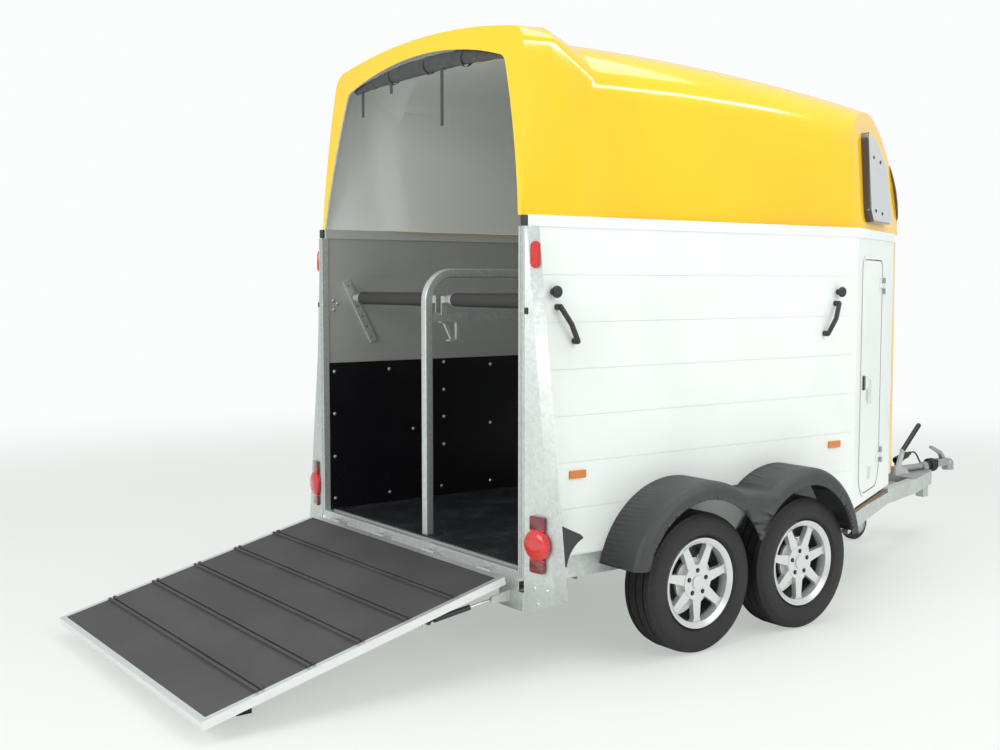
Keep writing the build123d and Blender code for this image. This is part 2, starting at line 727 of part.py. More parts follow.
def make_coupling():
    neck = rod((HOUSE_X1 - 110, 0, HOUSE_Z), (BELLOWS_X1 + 10, 0, HOUSE_Z), NECK_R)
    head = box(BELLOWS_X1, HEAD_X1, -31, 31, 402, 452)
    head = fillet(head.edges().filter_by(Axis.X), 12)
    outer_r = SOCKET_R + SOCKET_WALL
    dome_z = SOCKET_Z0 + SOCKET_DEPTH
    socket = Pos(SOCKET_X, 0, (SOCKET_Z0 + dome_z) / 2) * Cylinder(outer_r, SOCKET_DEPTH)
    dome = Pos(SOCKET_X, 0, dome_z) * Sphere(outer_r)
    dome &= box(SOCKET_X - 50, SOCKET_X + 50, -50, 50, dome_z, dome_z + 60)
    body = neck + head + socket + dome
    body -= Pos(SOCKET_X, 0, SOCKET_Z0 + SOCKET_DEPTH / 2 - 1) * Cylinder(SOCKET_R, SOCKET_DEPTH + 2)
    lever = prism_y([(4052, 440), (4030, 452), (3984, 500), (3888, 540), (3882, 526), (3972, 484),
                     (4000, 446)], -13, 13)
    return body + lever


def make_handbrake():
    """Lever with its grip, and its toothed quadrant, beside the housing."""
    y = HAND_Y
    z = BEAM_TOP + 6
    lever = prism_y([(3452, z + 2), (3496, z + 2), (3545, 543), (3521, 553)], y - 8, y + 8)
    grip = rod((3524, y, 536), (3686, y, 688), 15) + Pos(3686, y, 688) * Sphere(15)
    quadrant = prism_y([(3450, z), (3590, z), (3550, z + 38), (3450, z + 52)], y - 13, y - 8)
    return lever + grip + quadrant


def make_axles():
    """Two square torsion tubes with a trailing arm, back plate and stub at each end."""
    solids = []
    zc = CHASSIS_TOP - CHASSIS_H - AXLE_SIDE / 2
    for x in AXLE_XS.values():
        tube_x = x + ARM_L
        solids.append(box(tube_x - AXLE_SIDE / 2, tube_x + AXLE_SIDE / 2, -ARM_Y0, ARM_Y0,
                          zc - AXLE_SIDE / 2, zc + AXLE_SIDE / 2))
        arm = prism_y([(tube_x + 34, zc - 34), (tube_x + 34, zc + 34), (x - 30, TYRE_R + 26),
                       (x - 30, TYRE_R - 26)], ARM_Y0, ARM_Y1)
        plate_y = TRACK_Y - TYRE_W / 2 + 12
        stub = rod((x, plate_y, TYRE_R), (x, plate_y + 6, TYRE_R), DRUM_R)
        stub += rod((x, ARM_Y1, TYRE_R), (x, RIM_FACE_Y - 40, TYRE_R), STUB_R)
        solids += [arm, mirrored(arm), stub, mirrored(stub)]
    return group(*solids)


# Wheels

def wheel_profile(points, x, sign):
    """Turns a radius and width outline about the wheel's axle."""
    face = make_face(Polyline(*[(x, sign * y, TYRE_R + r) for r, y in points], close=True))
    return revolve(face, axis=Axis((x, 0, TYRE_R), (0, 1, 0)))


def make_tyre(x, sign):
    w = TYRE_W / 2
    r = TYRE_R
    pts = [(RIM_R, TRACK_Y - BEAD), (FLANGE_R + 2, TRACK_Y - BEAD), (FLANGE_R + 18, TRACK_Y - w + 3),
           (RIM_R + 66, TRACK_Y - w), (r - 22, TRACK_Y - w + 6), (r - 4, TRACK_Y - w + 20)]
    for g in (-44, 0, 44):
        pts += [(r, TRACK_Y + g - 4 if g > -44 else TRACK_Y - 48), (r - 7, TRACK_Y + g - 3),
                (r - 7, TRACK_Y + g + 3), (r, TRACK_Y + g + 4)]
    pts += [(r - 4, TRACK_Y + w - 20), (r - 22, TRACK_Y + w - 6), (RIM_R + 66, TRACK_Y + w),
            (FLANGE_R + 18, TRACK_Y + w - 3), (FLANGE_R + 2, TRACK_Y + BEAD), (RIM_R, TRACK_Y + BEAD)]
    return wheel_profile(pts, x, sign)


def make_rim(x, sign):
    """Alloy wheel: barrel, seven spokes, hub and the brake drum behind."""
    y0 = TRACK_Y - BEAD - CLEAR
    y1 = RIM_FACE_Y
    seat = RIM_R - CLEAR
    lip = TRACK_Y + BEAD + CLEAR
    pts = [(FLANGE_R - 8, y0 - 6), (FLANGE_R - 8, y0), (seat, y0), (seat, lip),
           (FLANGE_R, lip), (FLANGE_R, y1), (FLANGE_R - 6, y1),
           (seat - 8, y1 - 12), (seat - 8, y0 + 6), (seat - 6, y0 - 6)]
    barrel = wheel_profile(pts, x, sign)
    face_y = y1 - 14
    hub = rod((x, sign * (face_y - 34), TYRE_R), (x, sign * (face_y - 6), TYRE_R), HUB_R)
    cap = rod((x, sign * (face_y - 8), TYRE_R), (x, sign * face_y, TYRE_R), 30)
    body = hub + cap
    spoke = prism_y([(-24, -HUB_R + 12), (24, -HUB_R + 12), (17, -(seat - 20)), (29, -(seat - 4)),
                     (-29, -(seat - 4)), (-17, -(seat - 20))], 0, 26)
    for k in range(SPOKES):
        turned = spoke.rotate(Axis.Y, k * 360 / SPOKES)
        if sign < 0:
            turned = mirrored(turned)
        body += Pos(x, sign * (face_y - 34), TYRE_R) * turned
    drum_y0 = TRACK_Y - TYRE_W / 2 + 20
    body += rod((x, sign * drum_y0, TYRE_R), (x, sign * (face_y - 30), TYRE_R), DRUM_R - 8)
    body += barrel
    body -= rod((x, sign * (drum_y0 - 1), TYRE_R), (x, sign * (RIM_FACE_Y - 38), TYRE_R), STUB_R + CLEAR)
    return body


# Mudguards

def guard_form(inset):
    """Two round humps joined by a saddle, with a rounded outer shoulder."""
    y1 = GUARD_OUT - inset
    y0 = BODY_HALF + 0.5 - (20 if inset else 0)
    r = GUARD_R - inset
    lo, hi = AXLE_XS.values()
    top = GUARD_BRIDGE_Z - inset
    side = Pos(lo, GUARD_CZ) * Circle(r) + Pos(hi, GUARD_CZ) * Circle(r)
    side += Pos((lo + hi) / 2, (GUARD_CZ + top) / 2) * Rectangle(hi - lo, top - GUARD_CZ)
    plane = Plane(origin=(0, y0, 0), x_dir=(1, 0, 0), z_dir=(0, -1, 0))
    solid = extrude(plane * side, amount=y0 - y1)
    shoulder = [e for e in solid.edges() if abs(e.center().Y - y1) < 0.1 and e.length > 60]
    return fillet(shoulder, GUARD_ROUND - inset)


def make_mudguard():
    """Left mudguard over both wheels, open below and towards the wall."""
    shell = guard_form(0) - guard_form(GUARD_T)
    shell -= box(0, 2400, 800, 1200, -200, GUARD_Z0)
    lo, hi = AXLE_XS.values()
    for x in (lo, hi):
        shell -= rod((x - ARCH_BACK, GUARD_OUT - 60, GUARD_CZ), (x - ARCH_BACK, GUARD_OUT + 5, GUARD_CZ), ARCH_R)
    mid = (lo + hi) / 2
    shell -= box(mid - 120, mid + 120, GUARD_OUT - 60, GUARD_OUT + 5, GUARD_Z0 - 5, TONGUE_Z)
    return shell


# Rear frame

def fold_point(z):
    """The wing plate's fold on the right side at this height."""
    y = FOLD_LOW_HALF + (FOLD_TOP_HALF - FOLD_LOW_HALF) * (z - WING_Z0) / (WING_Z1 - WING_Z0)
    return Vector(POST_X0 + (y - POST_IN) * FOLD_LEAN, -y, z)


def edge_point(z):
    """The wing plate's outer edge on the right side at this height."""
    y = WING_LOW_HALF + (WING_TOP_HALF - WING_LOW_HALF) * (z - WING_Z0) / (WING_Z1 - WING_Z0)
    return Vector(WING_EDGE_X, -y, z)


def root_point(z):
    return Vector(POST_X0 + 2, -BODY_HALF - 1, z)


def make_rear_post():
    """Right rear post: a grooved upright and a twice folded wing plate."""
    upright = box(POST_X0, POST_X1, -BODY_HALF - 2, -POST_IN, POST_Z0 + 120, RAIL_TOP - RAIL_H)
    for y in (-832, -843):
        upright -= box(POST_X0 - 1, POST_X0 + 3, y - 2, y + 2, 300, 2000)
    sections = []
    for z in (BUMPER_Z0 - 20, WING_Z1):
        outer = [root_point(z), fold_point(z), edge_point(z)]
        inner = [outer[2] + Vector(0, SHEET + 2, 0), outer[1] + Vector(SHEET, SHEET / 2, 0),
                 outer[0] + Vector(SHEET, 0, 0)]
        sections.append(make_face(Polyline(*outer, *inner, close=True)))
    wing = loft(sections, ruled=True)
    low = BUMPER_Z0
    wing &= prism_x([(-BODY_HALF, low), (-BUMPER_OUT, low), (-WING_LOW_HALF, WING_Z0 - 8), (-1200, WING_Z0 + 45),
                     (-1200, 2000), (-BODY_HALF, 2000)], -100, 200)
    return upright + wing


def make_rear_sill():
    """Hollow cross sill with the feet under the posts, the ramp's hinge pins and the strut tabs."""
    z1 = FLOOR_TOP - 4
    z0 = CHASSIS_TOP - CHASSIS_H
    x1 = POST_X1 + 24 - CLEAR
    half = POST_IN - CLEAR
    sill = box(POST_X0, x1, -half, half, z0, z1)
    sill -= box(POST_X0 + 22, x1 - 8, -half - 1, half + 1, z1 - 12, z1 + 1)
    sill -= box(POST_X0 + SHEET, x1 + 1, -half - 1, half + 1, z0 + SHEET, CHASSIS_TOP - SHEET - 6)
    foot = box(POST_X0, BUMPER_X1, -BUMPER_OUT + 31, -BUMPER_IN, BUMPER_Z0, z0)
    foot -= box(POST_X0 + SHEET, BUMPER_X1 - SHEET, -BUMPER_OUT + 31 + SHEET, -BUMPER_IN - SHEET,
                BUMPER_Z0 + SHEET, z0 + 1)
    sill += foot
    sill += mirrored(foot)
    for y in HINGE_YS:
        for y0 in (y - KNUCKLE_L / 2 - 26, y + KNUCKLE_L / 2 + 1):
            lug = box(HINGE_X, POST_X0 + 1, y0, y0 + 25, HINGE_Z - KNUCKLE_R, HINGE_Z + KNUCKLE_R - 4)
            sill += lug + rod((HINGE_X, y0, HINGE_Z), (HINGE_X, y0 + 25, HINGE_Z), KNUCKLE_R)
        sill += rod((HINGE_X, y - KNUCKLE_L / 2 - 26, HINGE_Z), (HINGE_X, y + KNUCKLE_L / 2 + 26, HINGE_Z), PIN_R)
    tab_y = STRUT_Y + STRUT_EYE_T / 2 + CLEAR
    tab = prism_y([(POST_X0 + 1, 292), (POST_X0 + 1, 338), (STRUT_EYE_X - 14, 322), (STRUT_EYE_X - 14, 296)],
                  tab_y, tab_y + 6)
    sill += tab
    sill += mirrored(tab)
    return sill


def on_face(z, corner, end, share):
    """A plane on one face of the wing plate, rearward, with its X outwards and its Y up."""
    origin = corner(z) + (end(z) - corner(z)) * share
    up = corner(z + 50) + (end(z + 50) - corner(z + 50)) * share - origin
    out = (end(z) - corner(z)).normalized()
    return Plane(origin=origin, x_dir=out, z_dir=out.cross(up).normalized())


LAMP_Z = 548
LAMP_SHARE = 0.57        # across the face between the post and the fold
LAMP_GAP = 0.9           # the back plate rests on its rubber feet, clear of the fold
LAMP_OUTLINE = ((-42, 116), (-40, 62), (-67, 8), (-67, -4), (-40, -58), (-40, -106), (36, -112), (38, -58),
                (66, -4), (66, 8), (38, 62), (40, 110))
LENS_OUTLINE = ((-30, 62), (-63, 6), (-63, -2), (-32, -58), (32, -58), (62, -2), (62, 6), (30, 62))


def make_lamps():
    """Right side: the shaped tail lamp with its raised lens, and the oval marker above."""
    gap = LAMP_GAP
    seat = on_face(LAMP_Z, root_point, fold_point, LAMP_SHARE)
    back = seat * Pos(0, 0, gap) * extrude(make_face(Polyline(*LAMP_OUTLINE, close=True)), amount=12)
    foot = make_face(Polyline(*LENS_OUTLINE, close=True))
    crown = make_face(Polyline(*[(0.76 * x, 0.76 * y) for x, y in LENS_OUTLINE], close=True))
    lens = seat * Pos(0, 0, gap + 12) * loft([foot, Pos(0, 0, 20) * crown], ruled=True)
    side = on_face(1685, fold_point, edge_point, 0.5)
    oval = side * Pos(0, 0, gap) * extrude(SlotOverall(110, 42, rotation=90), amount=16)
    return group(back + lens, oval)


def make_reflectors():
    y = -BODY_HALF - CLEAR
    return group(*[box(x, x + 84, y - 8, y, 780, 812) for x in (224, 1830)])


# Fittings on the walls

def make_grab_handles():
    """Right side: two bow handles and two round knobs."""
    y = -BODY_HALF - CLEAR
    solids = []
    for top, low in (((157, 1479), (246, 1341)), ((1861, 1477), (1785, 1335))):
        solid = None
        for px, pz in (top, low):
            foot = rod((px, y, pz), (px, y - 26, pz), 13)
            solid = foot if solid is None else solid + foot
        mid = ((top[0] + low[0]) / 2, (top[1] + low[1]) / 2)
        solid += rod((top[0], y - 26, top[1]), (mid[0], y - 40, mid[1]), 11)
        solid += rod((mid[0], y - 40, mid[1]), (low[0], y - 26, low[1]), 11)
        for px, py, pz in ((top[0], y - 26, top[1]), (mid[0], y - 40, mid[1]), (low[0], y - 26, low[1])):
            solid += Pos(px, py, pz) * Sphere(11)
        solids.append(solid)
    for x, z in ((137, 1540), (1880, 1532)):
        stem = rod((x, y, z), (x, y - 18, z), 14)
        knob = rod((x, y - 18, z), (x, y - 36, z), 25)
        knob = fillet(knob.edges().filter_by(GeomType.CIRCLE), 8)
        solids.append(stem + knob)
    return group(*solids)


def make_chock():
    """Right side: a wedge with a hollow front, on a shelf that hangs on the wall."""
    y1 = -BODY_HALF - 6
    x0 = WING_EDGE_X + 12
    outline = prism_y([(x0, 452), (x0, 640), (192, 574), (205, 560), (205, 452)], y1 - 110, y1)
    hollow = Pos(255, y1 - 55, 432) * Rot(90, 0, 0) * Cylinder(136, 130)
    chock = outline - hollow
    shelf = box(x0 + 10, x0 + 60, y1 - 100, y1 + 6 - CLEAR, 440, 452 - CLEAR)
    plate = box(x0, x0 + 70, y1 + CLEAR, y1 + 6 - CLEAR, 440, WALL_Z0 + 60)
    return group(chock, shelf + plate)


# Partition, bars and brackets

def make_partition():
    """A bent tube frame: rear post, round corner, top rail, second rail and front post."""
    path = FilletPolyline((PART_X0, 0, FLOOR_TOP), (PART_X0, 0, PART_TOP), (PART_X1, 0, PART_TOP),
                          (PART_X1, 0, FLOOR_TOP), radius=PART_BEND - TUBE / 2)
    profile = Plane(origin=(PART_X0, 0, FLOOR_TOP), x_dir=(1, 0, 0), z_dir=(0, 0, 1)) \
        * RectangleRounded(TUBE, TUBE, 6)
    frame = sweep(profile, path=path)
    half = TUBE / 2
    frame += box(PART_X0 + half - 2, PART_X1 - half + 2, -half + 3, half - 3, PART_MID - half, PART_MID + half)
    return frame


def make_bar_brackets():
    """Slanted hole strips on the walls, sockets on the partition."""
    strip = prism_y([(105, 1580), (140, 1592), (298, 1286), (264, 1270)], -12, 0)
    solids = []
    for k in range(6):
        t = (k + 0.5) / 6
        x = 122 + t * (281 - 122)
        z = 1586 + t * (1278 - 1586)
        strip -= Pos(x, -6, z) * Rot(90, 0, 0) * Cylinder(7, 30)
    wall_y = BODY_HALF - WALL - CLEAR
    solids.append(Pos(0, wall_y, 0) * strip)
    solids.append(mirrored(solids[0]))
    half = TUBE / 2
    for x, z in ((BAR_X, BAR_Z), (BREAST_X, BREAST_Z)):
        socket = box(x - 16, x + 16, half, half + 30, z - 16, z + 16)
        socket_low = box(x - 16, x + 16, half, half + 6, PART_MID + 10, z - 10) if x == BAR_X else None
        piece = socket + socket_low if socket_low else socket
        solids += [piece, mirrored(piece)]
    pad_y = wall_y - KICK_T
    pad = box(BREAST_X - 30, BREAST_X + 30, pad_y - 10, pad_y, BREAST_Z - 60, BREAST_Z + 60)
    solids += [pad, mirrored(pad)]
    top = PART_MID - half - CLEAR
    low = top - 90
    foot = box(156, 272, -12, 12, top - 6, top) + box(200, 284, -14, 14, low, low + 6)
    foot += prism_y([(174, top - 5), (192, top - 5), (234, low + 5), (216, low + 5)], -8, 8)
    foot += box(243, 261, -8, 8, low + 5, top - 5)
    solids.append(foot)
    return group(*solids)


def make_padded_bars():
    """A foam sleeve on a tube, from the partition to the wall, behind and in front of each horse."""
    solids = []
    half = TUBE / 2
    wall_y = BODY_HALF - WALL - CLEAR
    for x, z, end in ((BAR_X, BAR_Z, wall_y - 12 - CLEAR), (BREAST_X, BREAST_Z, wall_y - KICK_T - 10 - CLEAR)):
        y0 = half + 30 + CLEAR
        bar = rod((x, y0, z), (x, end, z), BAR_TUBE_R) + rod((x, y0 + 34, z), (x, end - 34, z), BAR_R)
        solids += [bar, mirrored(bar)]
    return group(*solids)


def make_curtain():
    """The rolled fly curtain behind the rear flange, with its hanging straps."""
    plane = leaning_plane(0, REAR_LEAN, RAIL_TOP)
    away = (FACE_T + CURTAIN_R + 2 * CLEAR)

    def at(y, z):
        return plane.from_local_coords((y, (z - RAIL_TOP) / cos(radians(REAR_LEAN)), away))

    pts = [at(*p) for p in ((-620, 2502), (-500, 2537), (-180, 2586), (180, 2586), (500, 2537), (620, 2502))]
    path = FilletPolyline(*pts, radius=(300, 900, 900, 300))
    profile = Plane(origin=pts[0], z_dir=pts[1] - pts[0]) * Circle(CURTAIN_R)
    roll = sweep(profile, path=path)
    for y, top, length in ((560, 2519, 150), (300, 2566, 80)):
        x = at(y, top).X
        roll += box(x - 2, x + 2, y - 12, y + 12, top - CURTAIN_R - length, top)
    return roll


# Ramp

def ramp_slope():
    """Slope that brings the tip's upper edge to its height on the ground."""
    angle = atan2(HINGE_Z + RAMP_UP - RAMP_TIP_Z, RAMP_LEN)
    for _ in range(20):
        angle = atan2(HINGE_Z + RAMP_UP * cos(angle) - RAMP_TIP_Z, RAMP_LEN * cos(angle))
    return angle


SLOPE = ramp_slope()
CLOSE_DEG = 90 + degrees(SLOPE)


def ramp_plane():
    """Local x runs down the ramp, local y along the hinge, local z out of the mat."""
    return Plane(origin=(HINGE_X, 0, HINGE_Z), x_dir=(-cos(SLOPE), 0, -sin(SLOPE)),
                 z_dir=(-sin(SLOPE), 0, cos(SLOPE)))


def on_ramp(u, y, n):
    """A point of the ramp, in the trailer's frame."""
    return (HINGE_X - u * cos(SLOPE) - n * sin(SLOPE), y, HINGE_Z - u * sin(SLOPE) + n * cos(SLOPE))


def ramp_box(u0, u1, y0, y1, n0, n1):
    solid = Pos((u0 + u1) / 2, -(y0 + y1) / 2, (n0 + n1) / 2) * Box(u1 - u0, y1 - y0, n1 - n0)
    return ramp_plane() * solid


def make_ramp_panel():
    """Panel with a raised silver edge frame and stiffeners below."""
    low = RAMP_UP - RAMP_T
    panel = ramp_box(RAMP_START, RAMP_LEN, -RAMP_HALF, RAMP_HALF, low, RAMP_UP)
    panel -= ramp_box(RAMP_START + EDGE_W, RAMP_LEN - EDGE_W, -RAMP_HALF + EDGE_W, RAMP_HALF - EDGE_W,
                      RAMP_UP - 6, RAMP_UP + 1)
    return panel


def make_ramp_mat():
    """Rubber mat: six fields between raised cross cleats."""
    u0 = RAMP_START + EDGE_W + 1
    u1 = RAMP_LEN - EDGE_W - 1
    half = RAMP_HALF - EDGE_W - 1
    mat = ramp_box(u0, u1, -half, half, RAMP_UP - 6, RAMP_UP)
    pitch = (u1 - u0) / RAMP_FIELDS
    for i in range(1, RAMP_FIELDS):
        u = u0 + i * pitch
        for du in (-CLEAT_W / 2, CLEAT_W / 2 - 12):
            mat += ramp_box(u + du, u + du + 12, -half, half, RAMP_UP - 1, RAMP_UP + CLEAT_H)
    return mat


def make_ramp_feet():
    low = RAMP_UP - RAMP_T
    solids = []
    for y in (-FOOT_Y, FOOT_Y):
        x, _, z = on_ramp(FOOT_U, y, low)
        block = box(x - FOOT_SIZE / 2, x + FOOT_SIZE / 2, y - FOOT_SIZE / 2, y + FOOT_SIZE / 2, 0, z + 40)
        block -= ramp_box(FOOT_U - 200, FOOT_U + 200, y - 100, y + 100, low, low + 300)
        solids.append(block)
    return group(*solids)


def make_ramp_fittings():
    """Hinge knuckles, strut brackets and the bail handle below the tip."""
    low = RAMP_UP - RAMP_T
    solids = []
    for y in HINGE_YS:
        y0 = y - KNUCKLE_L / 2
        y1 = y + KNUCKLE_L / 2
        knuckle = rod((HINGE_X, y0, HINGE_Z), (HINGE_X, y1, HINGE_Z), KNUCKLE_R)
        knuckle += ramp_box(0, RAMP_START, y0, y1, -KNUCKLE_R, -KNUCKLE_R + 6)
        knuckle += ramp_box(4, 120, y0, y1, low - 5, low)
        knuckle += ramp_box(4, RAMP_START, y0, y1, low - 5, -KNUCKLE_R + 6)
        knuckle -= rod((HINGE_X, y0 - 1, HINGE_Z), (HINGE_X, y1 + 1, HINGE_Z), PIN_R + CLEAR)
        solids.append(knuckle)
    for sign in (-1, 1):
        y = sign * (STRUT_Y - STRUT_EYE_T / 2 - CLEAR - 6)
        y0, y1 = sorted((y, y + sign * 6))
        tab = ramp_box(STRUT_U - 22, STRUT_U + 22, y0, y1, STRUT_N - 14, low)
        solids.append(tab)
    top = low - CLEAR
    pts = [Vector(*on_ramp(u, y, n)) for u, y, n in ((1090, -190, top), (1090, -190, low - 26),
                                                    (1200, -165, low - 26), (1200, 165, low - 26),
                                                    (1090, 190, low - 26), (1090, 190, top))]
    path = FilletPolyline(*pts, radius=12)
    bail = sweep(Plane(origin=pts[0], z_dir=pts[1] - pts[0]) * Circle(7), path=path)
    solids.append(bail)
    return group(*solids)


# Struts: direction at rest from the ramp pivot to the chassis eye

def strut_ends():
    pivot = on_ramp(STRUT_U, 0, STRUT_N)
    return (pivot[0], pivot[2]), (STRUT_EYE_X, STRUT_EYE_Z)


def strut_motion():
    """Turn of the body in the ramp and stroke of the rod, per radian of the ramp."""
    (qx, qz), (px, pz) = strut_ends()
    a = radians(CLOSE_DEG)
    dx = qx - HINGE_X
    dz = qz - HINGE_Z
    cx = HINGE_X + dx * cos(a) + dz * sin(a)
    cz = HINGE_Z - dx * sin(a) + dz * cos(a)
    rest_len = hypot(px - qx, pz - qz)
    shut_len = hypot(px - cx, pz - cz)
    rest_dir = atan2(pz - qz, px - qx)
    shut_dir = atan2(pz - cz, px - cx) + a
    turn = -(shut_dir - rest_dir)
    return turn / a, (shut_len - rest_len) / 1000 / a


def make_strut(sign):
    (qx, qz), (px, pz) = strut_ends()
    y = sign * STRUT_Y
    length = hypot(px - qx, pz - qz)
    ux = (px - qx) / length
    uz = (pz - qz) / length

    def at(d):
        return (qx + d * ux, y, qz + d * uz)

    half = STRUT_EYE_T / 2
    body = rod(at(28), at(STRUT_BODY_L), STRUT_BODY_R) + rod(at(6), at(30), STRUT_ROD_R)
    body += rod((qx, y - half, qz), (qx, y + half, qz), STRUT_EYE_R)
    body -= rod(at(40), at(STRUT_BODY_L + 1), STRUT_ROD_R + CLEAR)
    rod_part = rod(at(42), at(length - 8), STRUT_ROD_R)
    rod_part += rod((px, y - half, pz), (px, y + half, pz), STRUT_EYE_R)
    return body, rod_part


# Side door

def make_side_door():
    leaf = QUARTER * Pos(0, 0, -WALL + 4) * extrude(door_sketch(0), amount=WALL - 4 + DOOR_LEAF_OUT)
    return leaf


def make_door_hinges():
    """Fixed leaves, knuckles and pins on the quarter panel."""
    solids = []
    for z in DOOR_HINGE_ZS:
        leaf = quarter_box(DOOR_AXIS_S - 2, DOOR_AXIS_S + 84, CLEAR, 6, z - 42, z + 42)
        leaf -= rod(quarter_point(DOOR_AXIS_S, DOOR_AXIS_OUT, z - 15), quarter_point(DOOR_AXIS_S, DOOR_AXIS_OUT, z + 15), 11)
        leaf -= quarter_box(DOOR_AXIS_S - 20, DOOR_AXIS_S - 1, -1, 4.4, z - 50, z + 50)
        for z0 in (z - 42, z + 15):
            leaf += rod(quarter_point(DOOR_AXIS_S, DOOR_AXIS_OUT, z0),
                        quarter_point(DOOR_AXIS_S, DOOR_AXIS_OUT, z0 + 27), 10)
        leaf += rod(quarter_point(DOOR_AXIS_S, DOOR_AXIS_OUT, z - 42),
                    quarter_point(DOOR_AXIS_S, DOOR_AXIS_OUT, z + 42), 4)
        solids.append(leaf)
    return group(*solids)


def make_door_handle():
    """On the door: its own hinge leaves, the handle with its lever and the lower holder."""
    solids = []
    out = DOOR_LEAF_OUT + CLEAR
    for z in DOOR_HINGE_ZS:
        leaf = quarter_box(DOOR_S1 - 70, DOOR_S1 - 2, out, out + 4, z - 13, z + 13)
        leaf += quarter_box(DOOR_S1 - 2, DOOR_AXIS_S, DOOR_AXIS_OUT - 8, DOOR_AXIS_OUT - 4, z - 13, z + 13)
        leaf += quarter_box(DOOR_S1 - 6, DOOR_S1 - 2, out, DOOR_AXIS_OUT - 4, z - 13, z + 13)
        a = quarter_point(DOOR_AXIS_S, DOOR_AXIS_OUT, z - 14)
        b = quarter_point(DOOR_AXIS_S, DOOR_AXIS_OUT, z + 14)
        leaf += rod(a, b, 10)
        leaf -= rod(a, b, 4 + CLEAR)
        solids.append(leaf)
    plate = quarter_box(DOOR_S0 + 20, DOOR_S0 + 150, out, out + 8, 1040, 1110)
    lever = quarter_box(DOOR_S0 + 120, DOOR_S0 + 146, out + 8, out + 22, 965, 1090)
    solids.append(plate + lever)
    holder = quarter_box(295, 305, out, out + 16, 570, 635) + quarter_box(305, 360, out, out + 10, 600, 608)
    solids.append(holder)
    return group(*solids)


# Jockey wheel

def make_jockey_clamp():
    """Outer tube and its clamp between the drawbar beams, with the winding handle."""
    x = JOCKEY_X
    tube = rod((x, 0, JOCKEY_LOW), (x, 0, JOCKEY_TOP - 60), JOCKEY_TUBE_R)
    clamp = box(x - 39, x + 40, -44, 44, BEAM_TOP - 80, BEAM_TOP + 20)
    body = tube + clamp
    body -= rod((x, 0, JOCKEY_LOW - 10), (x, 0, JOCKEY_TOP - 70), JOCKEY_INNER_R + CLEAR)
    screw = rod((x, 0, JOCKEY_TOP - 70), (x, 0, JOCKEY_TOP - 30), 8)
    crank = rod((x, 0, JOCKEY_TOP - 34), (x, 110, JOCKEY_TOP - 34), 6)
    knob = rod((x, 104, JOCKEY_TOP - 34), (x, 104, JOCKEY_TOP + 36), 11)
    return Pos(0, JOCKEY_Y, 0) * (body + screw + crank + knob)


def crown_top():
    return 2 * JOCKEY_WHEEL_R + 21


def make_jockey_tube():
    """Inner tube, free to rise inside the outer one."""
    x = JOCKEY_X
    top = JOCKEY_TOP - 78 - JOCKEY_LIFT
    low = crown_top() + CLEAR
    tube = rod((x, 0, low), (x, 0, top), JOCKEY_INNER_R)
    tube -= rod((x, 0, low - 1), (x, 0, low + 61), JOCKEY_PIN_R + CLEAR)
    return Pos(0, JOCKEY_Y, 0) * tube


def make_jockey_fork():
    """Swivelling fork with its pin, cheeks and axle."""
    crown_z = crown_top() - 13
    wheel_x = JOCKEY_X - JOCKEY_TRAIL
    half = JOCKEY_WHEEL_W / 2 + 5
    body = box(wheel_x - 30, JOCKEY_X + 26, -half - 4, half + 4, crown_z, crown_z + 13)
    body += rod((JOCKEY_X, 0, crown_z + 12), (JOCKEY_X, 0, crown_z + 68), JOCKEY_PIN_R)
    for y0 in (-half - 4, half):
        body += prism_y([(wheel_x - 22, JOCKEY_WHEEL_R - 20), (wheel_x + 22, JOCKEY_WHEEL_R - 20),
                         (JOCKEY_X + 26, crown_z + 4), (wheel_x - 30, crown_z + 4)], y0, y0 + 4)
    body += rod((wheel_x, -half - 8, JOCKEY_WHEEL_R), (wheel_x, half + 8, JOCKEY_WHEEL_R), 8)
    return Pos(0, JOCKEY_Y, 0) * body


def make_jockey_wheel():
    wheel_x = JOCKEY_X - JOCKEY_TRAIL
    half = JOCKEY_WHEEL_W / 2
    tyre = rod((wheel_x, -half, JOCKEY_WHEEL_R), (wheel_x, half, JOCKEY_WHEEL_R), JOCKEY_WHEEL_R)
    tyre = fillet(tyre.edges().filter_by(GeomType.CIRCLE), 16)
    for y0 in (-half - 1, half - 13):
        tyre -= rod((wheel_x, y0, JOCKEY_WHEEL_R), (wheel_x, y0 + 14, JOCKEY_WHEEL_R), 62)
    hub = rod((wheel_x, -half, JOCKEY_WHEEL_R), (wheel_x, half, JOCKEY_WHEEL_R), 20)
    tyre += hub
    tyre -= rod((wheel_x, -half - 1, JOCKEY_WHEEL_R), (wheel_x, half + 1, JOCKEY_WHEEL_R), 8 + CLEAR)
    return Pos(0, JOCKEY_Y, 0) * tyre


# Electric lead: from the housing's rear, past the handbrake, coiled round the neck

CABLE_D = 10
COIL_X0 = 3850
COIL_X1 = 3914
COIL_R = 46
COIL_INNER_R = 30
PLUG_Y = 45
CABLE_ROUTE = ((3730.4, 45, 501.1), (3768, 45, 511.1), (3797, 40, 487), (3814, 28, 445), (3849.6, 28, 445))


def make_plug():
    """Plug parked in its holder beside the housing."""
    z0 = BEAM_TOP + 6
    y = PLUG_Y
    holder = box(3596, 3602, y - 14, y + 14, z0, 465) + rod((3590, y, 463.8), (3640, y, 477), 24)
    holder -= rod((3589, y, 463.5), (3625, y, 473), 17)
    plug = rod((3638, y, 476.5), (3700, y, 493), 20) + rod((3698, y, 492.5), (3730, y, 501), 12)
    return holder + plug


